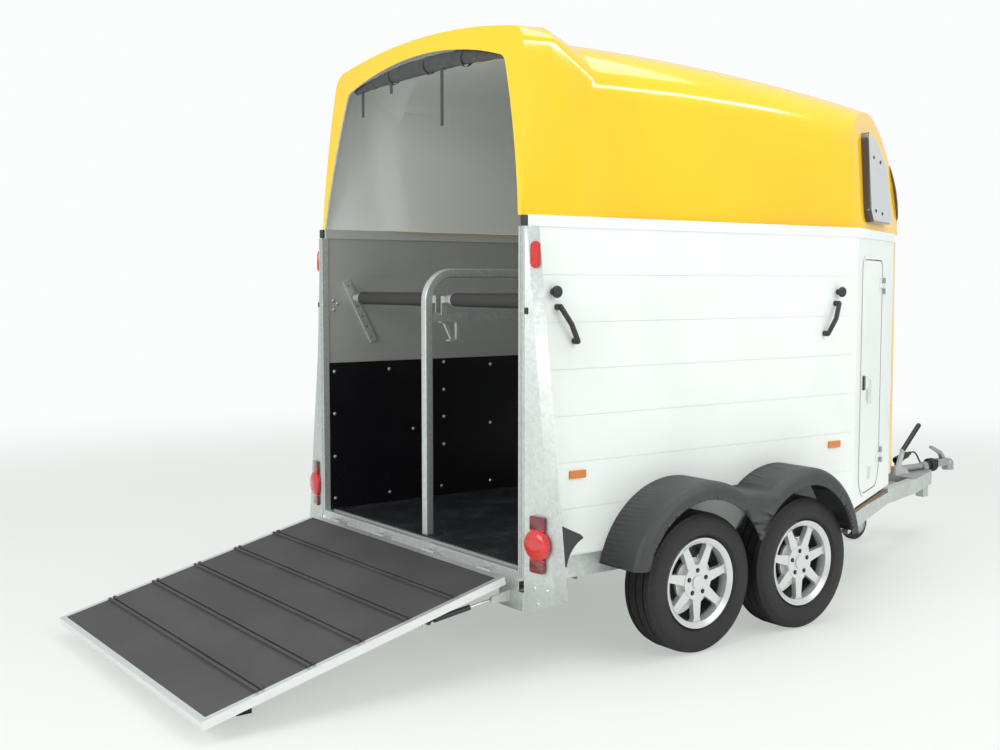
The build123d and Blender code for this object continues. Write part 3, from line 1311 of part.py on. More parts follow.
def make_cable():
    """The free lead from the plug to the coil round the neck."""
    pts = [Vector(*p) for p in CABLE_ROUTE]
    radii = []
    for a, b, c in zip(pts, pts[1:], pts[2:]):
        turn = radians((b - a).get_angle(c - b))
        shorter = min((b - a).length, (c - b).length)
        radii.append(0.45 * shorter / tan(turn / 2))
    path = FilletPolyline(*pts, radius=radii)
    profile = Plane(origin=pts[0], z_dir=pts[1] - pts[0]) * Circle(CABLE_D / 2)
    tube = sweep(profile, path=path)
    print("lead radii", [round(r) for r in radii], "length", round(path.length),
          "volume ratio", round(tube.volume / (pi * CABLE_D ** 2 / 4 * path.length), 3))
    return tube


def make_cable_coil():
    """Outer shape of the lead's turns round the bellows."""
    outer = rod((COIL_X0, 0, HOUSE_Z), (COIL_X1, 0, HOUSE_Z), COIL_R)
    inner = rod((COIL_X0 - 1, 0, HOUSE_Z), (COIL_X1 + 1, 0, HOUSE_Z), COIL_INNER_R)
    return outer - inner


def build():
    """Every piece of the trailer by name."""
    nodes = {}
    nodes["chassis_frame"] = make_chassis()
    nodes["drawbar_frame"] = make_drawbar()
    nodes["overrun_housing"] = make_overrun_housing()
    nodes["drawbar_bellows"] = make_bellows()
    nodes["coupling_head"] = make_coupling()
    nodes["handbrake_lever"] = make_handbrake()
    nodes["axles"] = make_axles()
    nodes["floor_board"] = make_floor_board()
    nodes["floor_mat"] = make_floor_mat()
    wall = make_side_wall()
    nodes["side_wall_right"] = wall
    nodes["side_wall_left"] = mirrored(wall)
    nodes["top_rail"] = make_top_rail()
    nodes["quarter_panel_right"] = make_quarter_panel(True)
    nodes["quarter_panel_left"] = make_quarter_panel(False)
    nodes["front_panel"] = make_front_panel()
    nodes["hood"] = make_hood()
    nodes["side_windows"] = make_side_windows()
    nodes["front_window"] = make_front_window()
    post = make_rear_post()
    nodes["rear_post_right"] = post
    nodes["rear_post_left"] = mirrored(post)
    nodes["rear_sill"] = make_rear_sill()
    nodes["rear_lamps"] = both_sides(make_lamps())
    nodes["side_reflectors"] = both_sides(make_reflectors())
    guard = make_mudguard()
    nodes["mudguard_left"] = guard
    nodes["mudguard_right"] = mirrored(guard)
    nodes["grab_handles"] = both_sides(make_grab_handles())
    nodes["kick_boards"] = make_kick_boards()
    nodes["partition_frame"] = make_partition()
    nodes["bar_brackets"] = make_bar_brackets()
    nodes["padded_bars"] = make_padded_bars()
    nodes["rolled_curtain"] = make_curtain()
    nodes["wheel_chocks"] = both_sides(make_chock())
    nodes["door_hinges"] = make_door_hinges()
    nodes["jockey_clamp"] = make_jockey_clamp()
    nodes["plug"] = make_plug()
    nodes["plug_cable"] = make_cable()
    nodes["cable_coil"] = make_cable_coil()
    nodes["ramp_panel"] = make_ramp_panel()
    nodes["ramp_mat"] = make_ramp_mat()
    nodes["ramp_feet"] = make_ramp_feet()
    nodes["ramp_fittings"] = make_ramp_fittings()
    for side, sign in (("right", -1), ("left", 1)):
        body, rod_part = make_strut(sign)
        nodes["strut_body_" + side] = body
        nodes["strut_rod_" + side] = rod_part
        for place, x in AXLE_XS.items():
            nodes[f"tyre_{place}_{side}"] = make_tyre(x, sign)
            nodes[f"rim_{place}_{side}"] = make_rim(x, sign)
    nodes["side_door"] = make_side_door()
    nodes["door_handle"] = make_door_handle()
    nodes["jockey_tube"] = make_jockey_tube()
    nodes["jockey_fork"] = make_jockey_fork()
    nodes["jockey_wheel"] = make_jockey_wheel()
    return nodes


def middle_x():
    """Half way between the ramp's tip and the coupling's tip."""
    tip = on_ramp(RAMP_LEN, 0, RAMP_UP)[0]
    front = SOCKET_X + SOCKET_R + SOCKET_WALL
    return (tip + front) / 2


def main():
    os.makedirs("parts", exist_ok=True)
    shift = Pos(-middle_x(), 0, 0)
    for name, shape in build().items():
        export_step(shift * shape, f"parts/{name}.step")


if __name__ == "__main__":
    main()
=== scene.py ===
# %% [markdown]
# # Dressing a two-horse trailer
# The solids of the trailer are already built, with every plank, rail, hinge and wheel at its place.
# This lesson gives them their finishes, swaps the pieces that need finer modelling, and adds the small
# things that make the trailer look real: bolts, lamps, the lead, the curtain and its straps.
# All sizes are metres. The trailer points along +X, its left side is +Y, and the ground is at z = 0.

# %% Load the solids
import math

import bpy
from mathutils import Matrix, Vector


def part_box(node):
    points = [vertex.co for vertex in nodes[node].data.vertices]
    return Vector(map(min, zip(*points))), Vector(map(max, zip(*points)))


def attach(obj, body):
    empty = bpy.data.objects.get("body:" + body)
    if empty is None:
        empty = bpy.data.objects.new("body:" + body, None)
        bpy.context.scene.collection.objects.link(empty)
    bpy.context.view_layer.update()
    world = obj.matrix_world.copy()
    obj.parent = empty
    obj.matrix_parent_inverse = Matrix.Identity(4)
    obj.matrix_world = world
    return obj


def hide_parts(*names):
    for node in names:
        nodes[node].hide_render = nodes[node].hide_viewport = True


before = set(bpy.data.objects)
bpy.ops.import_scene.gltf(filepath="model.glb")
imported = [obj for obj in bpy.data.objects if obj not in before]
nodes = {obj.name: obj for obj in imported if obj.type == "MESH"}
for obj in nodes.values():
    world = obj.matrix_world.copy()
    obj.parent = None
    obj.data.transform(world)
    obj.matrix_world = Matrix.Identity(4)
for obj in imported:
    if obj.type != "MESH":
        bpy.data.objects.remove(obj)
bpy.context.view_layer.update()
START_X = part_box("rear_post_right")[0].x + 0.008
print("loaded", len(nodes), "solids, rear posts at", round(START_X, 4))


def at(x, y, z):
    """A point measured in millimetres from the rear posts, in metres."""
    return Vector((START_X + x / 1000, y / 1000, z / 1000))


# %% [markdown]
# ## The camera
# The photograph was taken from behind and to the right, a little below head height. A camera fitted to
# the trailer's known corners gives the lens and the place; the body stands at 54 degrees to the view.

# %% Camera
camera_data = bpy.data.cameras.new("camera")
camera_data.sensor_width = 36
camera_data.lens = 1232.05 / 1000 * 36
camera = bpy.data.objects.new("camera", camera_data)
bpy.context.scene.collection.objects.link(camera)
camera.location = at(-2912.2, -4715.4, 1573.5)
yaw = math.radians(54.149)
pitch = math.radians(-4.257)
look = Vector((math.cos(yaw) * math.cos(pitch), math.sin(yaw) * math.cos(pitch), math.sin(pitch)))
camera.rotation_mode = "QUATERNION"
camera.rotation_quaternion = look.to_track_quat("-Z", "Y")
bpy.context.scene.camera = camera
print("camera at", [round(v, 3) for v in camera.location])

# %% [markdown]
# ## Shader maths as Python
# A finish is easier to read as an expression than as a web of nodes. Socket wraps one output and turns
# +, - and * into Math nodes. Finish is one material and adds any other node by its type.


# %% Sockets and finishes
class Socket:
    """One output of a node, with Python's operators."""

    def __init__(self, finish, output):
        self.finish = finish
        self.output = output

    def maths(self, operation, *others):
        return self.finish.node("ShaderNodeMath", {"operation": operation}, dict(enumerate((self, *others))))

    def __add__(self, other):
        return self.maths("ADD", other)

    def __sub__(self, other):
        return self.maths("SUBTRACT", other)

    def __rsub__(self, other):
        return self.finish.node("ShaderNodeMath", {"operation": "SUBTRACT"}, {0: other, 1: self})

    def __mul__(self, other):
        return self.maths("MULTIPLY", other)

    __radd__ = __add__
    __rmul__ = __mul__

    def above(self, level):
        return self.maths("GREATER_THAN", level)

    def ramp(self, low, high):
        """0 below low, 1 above high, and a smooth step between."""
        return self.finish.node("ShaderNodeMapRange", {"interpolation_type": "SMOOTHSTEP"},
                                {"Value": self, "From Min": low, "From Max": high})


class Finish:
    """One material, and the nodes that make it."""

    def __init__(self, name, colour, roughness, metallic=0.0, **sockets):
        self.material = bpy.data.materials.new(name)
        self.material.use_nodes = True
        self.tree = self.material.node_tree
        self.shader = self.tree.nodes["Principled BSDF"]
        self.shader.inputs["Base Color"].default_value = (*colour, 1)
        self.shader.inputs["Roughness"].default_value = roughness
        self.shader.inputs["Metallic"].default_value = metallic
        for socket, value in sockets.items():
            self.shader.inputs[socket.replace("_", " ")].default_value = value

    def plug(self, target, value):
        if isinstance(value, Socket):
            self.tree.links.new(value.output, target)
        else:
            target.default_value = value

    def node(self, kind, settings=None, inputs=None, output=0):
        made = self.tree.nodes.new(kind)
        for name, value in (settings or {}).items():
            setattr(made, name, value)
        for name, value in (inputs or {}).items():
            self.plug(made.inputs[name], value)
        return Socket(self, made.outputs[output])

    def feed(self, socket, value):
        self.plug(self.shader.inputs[socket], value)

    def place(self):
        return self.node("ShaderNodeTexCoord", output="Object")

    def facing(self):
        return self.node("ShaderNodeTexCoord", output="Normal")

    def axes(self, vector):
        """The three numbers of a vector."""
        split = self.tree.nodes.new("ShaderNodeSeparateXYZ")
        self.tree.links.new(vector.output, split.inputs[0])
        return [Socket(self, split.outputs[i]) for i in range(3)]

    def scaled(self, x, y, z):
        return self.node("ShaderNodeVectorMath", {"operation": "MULTIPLY"}, {0: self.place(), 1: (x, y, z)})

    def noise(self, scale, detail=3.0, vector=None, roughness=0.5):
        return self.node("ShaderNodeTexNoise", {}, {"Vector": vector or self.place(), "Scale": scale,
                                                   "Detail": detail, "Roughness": roughness})

    def cells(self, scale, output="Distance", vector=None):
        return self.node("ShaderNodeTexVoronoi", {}, {"Vector": vector or self.place(), "Scale": scale},
                         output)

    def mix(self, first, second, factor):
        def full(colour):
            return colour if isinstance(colour, Socket) else (*colour, 1)
        return self.node("ShaderNodeMix", {"data_type": "RGBA"},
                         {0: factor, 6: full(first), 7: full(second)}, 2)

    def bump(self, height, distance, strength=1.0):
        self.feed("Normal", self.node("ShaderNodeBump", {}, {"Height": height, "Distance": distance,
                                                             "Strength": strength}))


# %% [markdown]
# ## Two faces of one sheet
# The hood is yellow outside and pale inside, and the planks are white outside and bare metal inside.
# A face looks outwards when its normal points away from the middle of the trailer. One dot product
# tells the two sides apart, so a single solid can wear both finishes.


# %% Outer side mask
def outer_side(finish, middle, flat):
    """1 on faces that look away from the middle; flat leaves height out of the test."""
    away = finish.node("ShaderNodeVectorMath", {"operation": "SUBTRACT"},
                       {0: finish.place(), 1: tuple(middle)})
    if flat:
        away = finish.node("ShaderNodeVectorMath", {"operation": "MULTIPLY"}, {0: away, 1: (1, 1, 0)})
    dot = finish.node("ShaderNodeVectorMath", {"operation": "DOT_PRODUCT"},
                      {0: away, 1: finish.facing()}, "Value")
    return dot.above(0.0)


# %% [markdown]
# ## The gel coat
# The hood and the front panel are glass fibre with a glossy yellow gel coat. Long soft waves in the
# mould show in the reflections, so a slow noise bends the normal a little. Inside, the bare laminate is
# a pale grey with a fine texture.

# %% Gel coat
YELLOW = (1.0, 0.57, 0.0)
LAMINATE = (0.86, 0.88, 0.83)


def gel_coat(name, middle, flat):
    coat = Finish(name, YELLOW, 0.14, Coat_Weight=0.5, Coat_Roughness=0.04)
    outer = outer_side(coat, middle, flat)
    drift = coat.noise(1.6, 2.0)
    yellow = coat.mix(YELLOW, (0.98, 0.50, 0.006), drift.ramp(0.35, 0.75) * 0.5)
    speck = coat.noise(240.0, 2.0)
    laminate = coat.mix(LAMINATE, (0.78, 0.80, 0.75), speck)
    coat.feed("Base Color", coat.mix(laminate, yellow, outer))
    coat.feed("Roughness", 0.5 - 0.36 * outer)
    coat.feed("Coat Weight", outer * 0.5)
    coat.bump(coat.noise(2.2, 1.0) * outer + speck * (1 - outer) * 0.06, 0.004)
    return coat.material


hood_coat = gel_coat("gel_coat_hood", at(1400, 0, 2080), False)
front_coat = gel_coat("gel_coat_front", at(1400, 0, 0), True)

# %% [markdown]
# ## Plank walls
# The planks are hollow aluminium profiles. Outside they are lacquered white; inside the bare metal is
# brushed along its length. Stretching noise along x gives the brushing its direction.

# %% Planks
PLANK_WHITE = (0.84, 0.87, 0.83)
BARE_METAL = (0.52, 0.52, 0.49)


def plank_finish(name, inside=BARE_METAL):
    plank = Finish(name, PLANK_WHITE, 0.3, Coat_Weight=0.15)
    outer = outer_side(plank, at(1400, 0, 0), True)
    brushed = plank.noise(60.0, 4.0, plank.scaled(0.06, 1.0, 14.0))
    cloudy = plank.noise(2.5, 3.0)
    metal = plank.mix(inside, tuple(c * 0.72 for c in inside), brushed * 0.6 + cloudy * 0.4)
    white = plank.mix(PLANK_WHITE, (0.76, 0.79, 0.755), cloudy.ramp(0.4, 0.8) * 0.6)
    plank.feed("Base Color", plank.mix(metal, white, outer))
    plank.feed("Roughness", 0.42 - 0.14 * outer)
    plank.feed("Metallic", (1 - outer) * 0.25)
    plank.bump(brushed * (1 - outer) * 0.3 + plank.noise(40.0, 2.0) * outer * 0.1, 0.0006)
    return plank.material


plank_coat = plank_finish("planks")
rail_coat = plank_finish("rail_lacquer", (0.62, 0.63, 0.60))

# %% [markdown]
# ## Zinc and aluminium
# Hot-dip galvanised steel shows a spangle of crystals, each with its own grey. Voronoi cells make the
# crystals, and a slow noise adds the dull patches where the zinc ran thin. Anodised rails are smoother.


# %% Zinc
def zinc_finish(name, colour, spangle, metallic=0.7):
    zinc = Finish(name, colour, 0.42, metallic)
    crystals = zinc.cells(75.0, "Color")
    grey = zinc.axes(crystals)[0]
    runs = zinc.noise(5.0, 5.0, zinc.scaled(1.0, 1.0, 0.35))
    dark = tuple(c * 0.7 for c in colour)
    zinc.feed("Base Color", zinc.mix(colour, dark, grey * spangle + runs.ramp(0.45, 0.8) * 0.35))
    zinc.feed("Roughness", 0.34 + grey * 0.12 + runs * 0.12)
    zinc.bump(grey * 0.2 + zinc.noise(160.0, 2.0) * 0.25, 0.0005)
    return zinc.material


galvanised = zinc_finish("galvanised", (0.62, 0.65, 0.63), 0.42, 0.62)
cast_zinc = zinc_finish("cast_zinc", (0.42, 0.44, 0.45), 0.2)


def anodised_finish(name, colour, roughness):
    metal = Finish(name, colour, roughness, 0.75)
    lines = metal.noise(90.0, 3.0, metal.scaled(0.05, 0.05, 1.0))
    metal.feed("Base Color", metal.mix(colour, tuple(c * 0.86 for c in colour), lines))
    metal.feed("Roughness", roughness + lines * 0.12)
    metal.bump(lines * 0.2, 0.0004)
    return metal.material


anodised = anodised_finish("anodised", (0.78, 0.80, 0.78), 0.3)
rod_chrome = anodised_finish("rod_chrome", (0.8, 0.8, 0.8), 0.08)
bolt_zinc = anodised_finish("bolt_zinc", (0.7, 0.71, 0.72), 0.25)

# %% [markdown]
# ## Rubber and plastic
# Every black here is a different black. The ramp mat is worn to grey and ribbed down its length, the
# floor mat is hammered, the tyres are dull, and the mudguards have a moulded grain that scatters light.


# %% Black finishes
def black_finish(name, colour, roughness, grain, depth, worn=0.25):
    black = Finish(name, colour, roughness)
    fine = black.noise(grain, 4.0)
    slow = black.noise(6.0, 3.0)
    light = tuple(min(1.0, c * 1.8 + 0.004) for c in colour)
    black.feed("Base Color", black.mix(colour, light, fine * worn + slow.ramp(0.5, 0.8) * worn))
    black.feed("Roughness", roughness + (slow - 0.5) * 0.14)
    black.bump(fine, depth)
    return black.material


guard_plastic = black_finish("guard_plastic", (0.035, 0.036, 0.037), 0.48, 900.0, 0.0004)
fine_plastic = black_finish("fine_plastic", (0.022, 0.022, 0.023), 0.4, 700.0, 0.0002)
board_black = black_finish("board_black", (0.006, 0.006, 0.0075), 0.3, 260.0, 0.0002, 0.12)
soft_rubber = black_finish("soft_rubber", (0.02, 0.02, 0.02), 0.6, 500.0, 0.0003)
# Black paint on the struts; on the wheels the same finish is the painted shade in the lug holes.
strut_paint_and_recess_shade = black_finish("strut_paint_and_recess_shade", (0.015, 0.015, 0.015), 0.22, 200.0, 0.0001, 0.1)


def ramp_rubber():
    rubber = Finish("ramp_rubber", (0.062, 0.058, 0.058), 0.62)
    across = rubber.axes(rubber.place())[1]
    ribs = (across * (2 * math.pi / 0.0095)).maths("SINE") * 0.5 + 0.5
    dust = rubber.noise(3.0, 5.0)
    fine = rubber.noise(420.0, 3.0)
    base = rubber.mix((0.052, 0.049, 0.05), (0.088, 0.082, 0.08), dust.ramp(0.35, 0.75) * 0.7 + fine * 0.3)
    # The grooves between the ribs are darker: painted shade in the grooves.
    rubber.feed("Base Color", rubber.mix(base, (0.03, 0.029, 0.03), (1 - ribs) * 0.45))
    rubber.feed("Roughness", 0.58 + dust * 0.15)
    rubber.bump(ribs + fine * 0.25, 0.0009)
    return rubber.material


def hammered_rubber():
    rubber = Finish("hammered_rubber", (0.02, 0.021, 0.024), 0.34)
    dents = rubber.cells(55.0)
    patch = rubber.noise(7.0, 5.0)
    worn = patch.ramp(0.45, 0.72) * 0.6
    rubber.feed("Base Color", rubber.mix((0.014, 0.015, 0.018), (0.05, 0.054, 0.062), worn))
    rubber.feed("Roughness", 0.3 + patch * 0.25)
    rubber.bump(dents + rubber.noise(300.0, 2.0) * 0.3, 0.0022)
    return rubber.material


AXLE_X = {"rear": 800, "front": 1451}
TYRE_R = 302


def tyre_finish(place):
    """Rubber with slanted cuts across the tread and fine rings on the sidewalls."""
    tyre = Finish("tyre_rubber_" + place, (0.028, 0.026, 0.025), 0.62)
    hub = at(AXLE_X[place], 0, TYRE_R)
    x, y, z = tyre.axes(tyre.node("ShaderNodeVectorMath", {"operation": "SUBTRACT"},
                                  {0: tyre.place(), 1: tuple(hub)}))
    radius = (x * x + z * z).maths("SQRT")
    turn = z.maths("ARCTAN2", x)
    tread = radius.ramp(0.284, 0.29)
    slant = turn * 78 + y.maths("ABSOLUTE") * 150
    cuts = slant.maths("SINE").ramp(0.80, 0.93) * tread
    rings = (radius * 1500).maths("SINE").ramp(0.2, 0.9) * (1 - tread) * radius.ramp(0.262, 0.268)
    dust = tyre.noise(9.0, 5.0)
    base = tyre.mix((0.008, 0.0075, 0.007), (0.020, 0.018, 0.016), dust.ramp(0.3, 0.8) * 0.7)
    # The cuts in the tread take the darkest rubber colour: painted shade in the cuts.
    tyre.feed("Base Color", tyre.mix(base, (0.008, 0.008, 0.008), cuts))
    tyre.feed("Roughness", 0.5 + dust * 0.2)
    tyre.bump(tyre.noise(600.0, 3.0) * 0.08 + rings * 0.35 - cuts, 0.003)
    return tyre.material


ramp_mat_rubber = ramp_rubber()
floor_mat_rubber = hammered_rubber()
tyre_rubber = {place: tyre_finish(place) for place in AXLE_X}
chock_plastic = black_finish("chock_plastic", (0.028, 0.028, 0.029), 0.45, 800.0, 0.0004)


def split_finish(name, place, low, high, first, second, roughness):
    """Two colours on one piece, parted along a direction at a place."""
    finish = Finish(name, first, roughness)
    x, y, z = finish.axes(finish.place())
    along = x * place[0] + z * place[1]
    fine = finish.noise(500.0, 3.0)
    share = along.ramp(low, high)
    grained = finish.mix(first, tuple(c * 1.25 for c in first), fine)
    finish.feed("Base Color", finish.mix(grained, second, share))
    finish.bump(fine, 0.0002)
    return finish.material


door_edge = at(2190, 0, 0).x
handle_finish = split_finish("door_handle_finish", (1, 0), door_edge, door_edge + 0.002,
                             (0.04, 0.035, 0.032), (0.76, 0.79, 0.755), 0.4)
grip_line = (at(3530, 0, 540).x + 0.540) * 0.7071
brake_finish = split_finish("brake_finish", (0.7071, 0.7071), grip_line, grip_line + 0.002,
                            (0.45, 0.47, 0.46), (0.012, 0.012, 0.012), 0.38)

# %% [markdown]
# ## Lamps, glass and padding
# A lamp lens is clear red plastic over a reflector, so its colour is deep and its coat is glossy. The
# windows are smoked acrylic. The bar sleeves are matt foam, and the rolled curtain is coated cloth.


# %% Lamps, glass and cloth
def lens_finish(name, colour, pitch):
    lens = Finish(name, colour, 0.16, Coat_Weight=0.8)
    x, y, z = lens.axes(lens.place())
    ribs = (z * (2 * math.pi / pitch)).maths("SINE") * 0.5 + 0.5
    rows = (y * (2 * math.pi / pitch)).maths("SINE") * 0.5 + 0.5
    lens.feed("Base Color", lens.mix(colour, tuple(c * 0.45 for c in colour), ribs * rows))
    lens.bump(ribs + rows, 0.0006)
    return lens.material


lens_red = lens_finish("lens_red", (0.62, 0.012, 0.01), 0.006)


LAMP_Z = 548


def tail_lamp_finish():
    """Bright ribbed middle, with darker tabs above and below it."""
    lens = Finish("tail_lens", (0.62, 0.012, 0.01), 0.14, Coat_Weight=0.8)
    x, y, z = lens.axes(lens.place())
    middle = (z - LAMP_Z / 1000).maths("ABSOLUTE")
    tab = middle.ramp(0.060, 0.063) * (1 - z.above(1.0))
    ribs = (z * (2 * math.pi / 0.005)).maths("SINE") * 0.5 + 0.5
    rows = (y * (2 * math.pi / 0.005)).maths("SINE") * 0.5 + 0.5
    bright = lens.mix((0.66, 0.010, 0.008), (0.36, 0.004, 0.004), ribs * rows)
    lens.feed("Base Color", lens.mix(bright, (0.16, 0.006, 0.008), tab))
    lens.bump(ribs + rows, 0.0006)
    return lens.material


tail_lens = tail_lamp_finish()
lens_orange = lens_finish("lens_orange", (0.92, 0.26, 0.02), 0.005)


def pane_finish(name, out, pale, edge):
    """Tinted acrylic: the faces that look out wear a pale grey, a painted reflection of the bright room; the
    drawn walls stay brown.
    """
    pane = Finish(name, pale, 0.1, Coat_Weight=0.5)
    x, y, z = pane.axes(pane.facing())
    # flat is 1 on faces that look out; their pale colour, varied by a slow noise, is a painted reflection of
    # the bright room.
    flat = (x * out[0] + y.maths("ABSOLUTE") * out[1] + z * out[2]).ramp(0.72, 0.9)
    cloudy = pane.mix(pale, tuple(0.82 * c for c in pale), pane.noise(2.4))
    pane.feed("Base Color", pane.mix(edge, cloudy, flat))
    pane.feed("Roughness", 0.08 + pane.noise(4.0) * 0.06)
    return pane.material


side_acrylic = pane_finish("side_acrylic", (0.41, 0.88, 0.24), (0.56, 0.58, 0.58), (0.06, 0.045, 0.035))
nose_acrylic = pane_finish("nose_acrylic", (0.95, 0.0, 0.3), (0.60, 0.62, 0.62), (0.16, 0.15, 0.14))


def cloth_finish(name, colour, thread, roughness):
    cloth = Finish(name, colour, roughness, Sheen_Weight=0.25)
    x, y, z = cloth.axes(cloth.place())
    warp = (y * (2 * math.pi / thread)).maths("SINE") * 0.5 + 0.5
    weft = ((x + z) * (2 * math.pi / thread)).maths("SINE") * 0.5 + 0.5
    slow = cloth.noise(14.0, 4.0)
    light = tuple(c * 2.1 for c in colour)
    cloth.feed("Base Color", cloth.mix(colour, light, warp * weft * 0.5 + slow * 0.3))
    cloth.bump(warp + weft + slow * 2, 0.0004)
    return cloth.material


curtain_cloth = cloth_finish("curtain_cloth", (0.012, 0.012, 0.013), 0.0016, 0.55)
foam_sleeve = black_finish("foam_sleeve", (0.03, 0.028, 0.027), 0.72, 380.0, 0.0006)
webbing = cloth_finish("webbing", (0.014, 0.014, 0.015), 0.0022, 0.6)
ply_side = Finish("ply_side", (0.22, 0.13, 0.06), 0.5)
ply_side.feed("Base Color", ply_side.mix((0.24, 0.14, 0.07), (0.12, 0.065, 0.03),
                                         ply_side.noise(8.0, 4.0, ply_side.scaled(0.2, 4.0, 30.0))))
alloy = Finish("alloy_lacquer_and_painted_shade", (0.60, 0.61, 0.60), 0.26, 0.35, Coat_Weight=0.4)
# Everything deeper than the rim's outer face is near black: painted shade in the hollow of the wheel. The face
# is silver.
depth = alloy.axes(alloy.place())[1].maths("ABSOLUTE")
silver = alloy.mix((0.68, 0.69, 0.68), (0.58, 0.59, 0.58), alloy.noise(900.0, 2.0))
alloy.feed("Base Color", alloy.mix((0.06, 0.058, 0.055), silver, depth.ramp(0.972, 0.988)))
alloy_lacquer_and_painted_shade = alloy.material
alloy_plain = anodised_finish("alloy_plain", (0.66, 0.67, 0.66), 0.3)

# %% [markdown]
# ## Smooth shading on the solids
# The solids arrive as loose triangles, which look faceted. A Weld modifier joins them, and an Edge
# Split at 32 degrees keeps the folds crisp while round surfaces shade smoothly. The meshes themselves
# stay as they are.

# %% Finishes on the solids
node_finishes = {
    "chassis_frame": galvanised, "drawbar_frame": galvanised, "overrun_housing": cast_zinc,
    "drawbar_bellows": soft_rubber, "coupling_head": cast_zinc, "handbrake_lever": brake_finish,
    "axles": galvanised,
    "floor_board": ply_side.material, "floor_mat": floor_mat_rubber, "side_wall_right": plank_coat,
    "side_wall_left": plank_coat, "top_rail": rail_coat, "quarter_panel_right": plank_coat,
    "quarter_panel_left": plank_coat, "front_panel": front_coat, "hood": hood_coat,
    "side_windows": side_acrylic, "front_window": nose_acrylic, "rear_post_right": galvanised,
    "rear_post_left": galvanised, "rear_sill": galvanised, "rear_lamps": tail_lens,
    "side_reflectors": lens_orange, "mudguard_left": guard_plastic, "mudguard_right": guard_plastic,
    "grab_handles": fine_plastic, "kick_boards": board_black, "partition_frame": galvanised,
    "bar_brackets": galvanised, "padded_bars": foam_sleeve, "rolled_curtain": curtain_cloth,
    "wheel_chocks": chock_plastic, "door_hinges": plank_coat, "jockey_clamp": galvanised,
    "plug": fine_plastic, "plug_cable": soft_rubber, "cable_coil": soft_rubber, "ramp_panel": anodised,
    "ramp_mat": ramp_mat_rubber, "ramp_feet": soft_rubber, "ramp_fittings": galvanised,
    "side_door": plank_coat, "door_handle": handle_finish, "jockey_tube": rod_chrome,
    "jockey_fork": galvanised, "jockey_wheel": soft_rubber,
}
for side in ("right", "left"):
    node_finishes["strut_body_" + side] = strut_paint_and_recess_shade
    node_finishes["strut_rod_" + side] = rod_chrome
    for place in ("rear", "front"):
        node_finishes[f"tyre_{place}_{side}"] = tyre_rubber[place]
        node_finishes[f"rim_{place}_{side}"] = alloy_lacquer_and_painted_shade
for name, finish in node_finishes.items():
    solid = nodes[name]
    solid.data.materials.clear()
    solid.data.materials.append(finish)
    for face in solid.data.polygons:
        face.use_smooth = True
    weld = solid.modifiers.new("weld", "WELD")
    weld.merge_threshold = 0.00002
    split = solid.modifiers.new("folds", "EDGE_SPLIT")
    split.split_angle = math.radians(32)
print("finished", len(node_finishes), "of", len(nodes), "solids")

# %% [markdown]
# ## Floor and light
# The photograph was taken in a white studio. The world looks white to the camera, and the floor goes
# from a pale grey near the trailer, a painted shade round it, to the same white far off. Four soft lamps give
# an even light.
# Reflections see a plain grey room, because the world is dimmer for them than for the camera.

# %% Stage and lamps
bpy.ops.object.select_all(action="DESELECT")
bpy.ops.mesh.primitive_plane_add(size=60, location=(0, 0, -0.0005))
floor = bpy.context.object
floor.name = "studio_floor"
studio = Finish("studio_floor", (0.86, 0.88, 0.86), 0.55)
rays = studio.tree.nodes.new("ShaderNodeLightPath")
glow = studio.tree.nodes.new("ShaderNodeEmission")
glow.inputs["Strength"].default_value = 1.0
mixer = studio.tree.nodes.new("ShaderNodeMixShader")
ground = studio.axes(studio.place())
reach = (ground[0] * ground[0] + ground[1] * ground[1]).maths("SQRT").ramp(3.2, 10.0)
# The glow is pale grey near the trailer and white far off: a painted shade round the trailer.
glow_with_painted_shade = studio.mix((0.80, 0.84, 0.80), (0.96, 0.985, 0.975), reach)
studio.tree.links.new(glow_with_painted_shade.output, glow.inputs["Color"])
camera_share = Socket(studio, rays.outputs["Is Camera Ray"]) * (reach * 0.45 + 0.55)
studio.tree.links.new(camera_share.output, mixer.inputs[0])
studio.tree.links.new(studio.shader.outputs[0], mixer.inputs[1])
studio.tree.links.new(glow.outputs[0], mixer.inputs[2])
studio.tree.links.new(mixer.outputs[0], studio.tree.nodes["Material Output"].inputs["Surface"])
floor.data.materials.append(studio.material)

world = bpy.data.worlds.new("studio")
bpy.context.scene.world = world
world.use_nodes = True
sky = world.node_tree
back = sky.nodes["Background"]
back.inputs["Color"].default_value = (0.93, 0.97, 0.98, 1)
back.inputs["Strength"].default_value = 0.72
bright = sky.nodes.new("ShaderNodeBackground")
bright.inputs["Color"].default_value = (0.96, 0.985, 0.975, 1)
bright.inputs["Strength"].default_value = 1.0
path = sky.nodes.new("ShaderNodeLightPath")
seen = sky.nodes.new("ShaderNodeMath")
seen.operation = "MAXIMUM"
sky.links.new(path.outputs["Is Camera Ray"], seen.inputs[0])
sky.links.new(path.outputs["Is Transmission Ray"], seen.inputs[1])
choose = sky.nodes.new("ShaderNodeMixShader")
sky.links.new(seen.outputs[0], choose.inputs[0])
sky.links.new(back.outputs[0], choose.inputs[1])
sky.links.new(bright.outputs[0], choose.inputs[2])
sky.links.new(choose.outputs[0], sky.nodes["World Output"].inputs["Surface"])


def softbox(name, place, target, width, height, power):
    """A rectangular studio lamp aimed at a point."""
    data = bpy.data.lights.new(name, "AREA")
    data.shape = "RECTANGLE"
    data.size = width
    data.size_y = height
    data.energy = power
    lamp = bpy.data.objects.new(name, data)
    bpy.context.scene.collection.objects.link(lamp)
    lamp.location = place
    lamp.rotation_mode = "QUATERNION"
    lamp.rotation_quaternion = (Vector(target) - Vector(place)).to_track_quat("-Z", "Y")
    return lamp


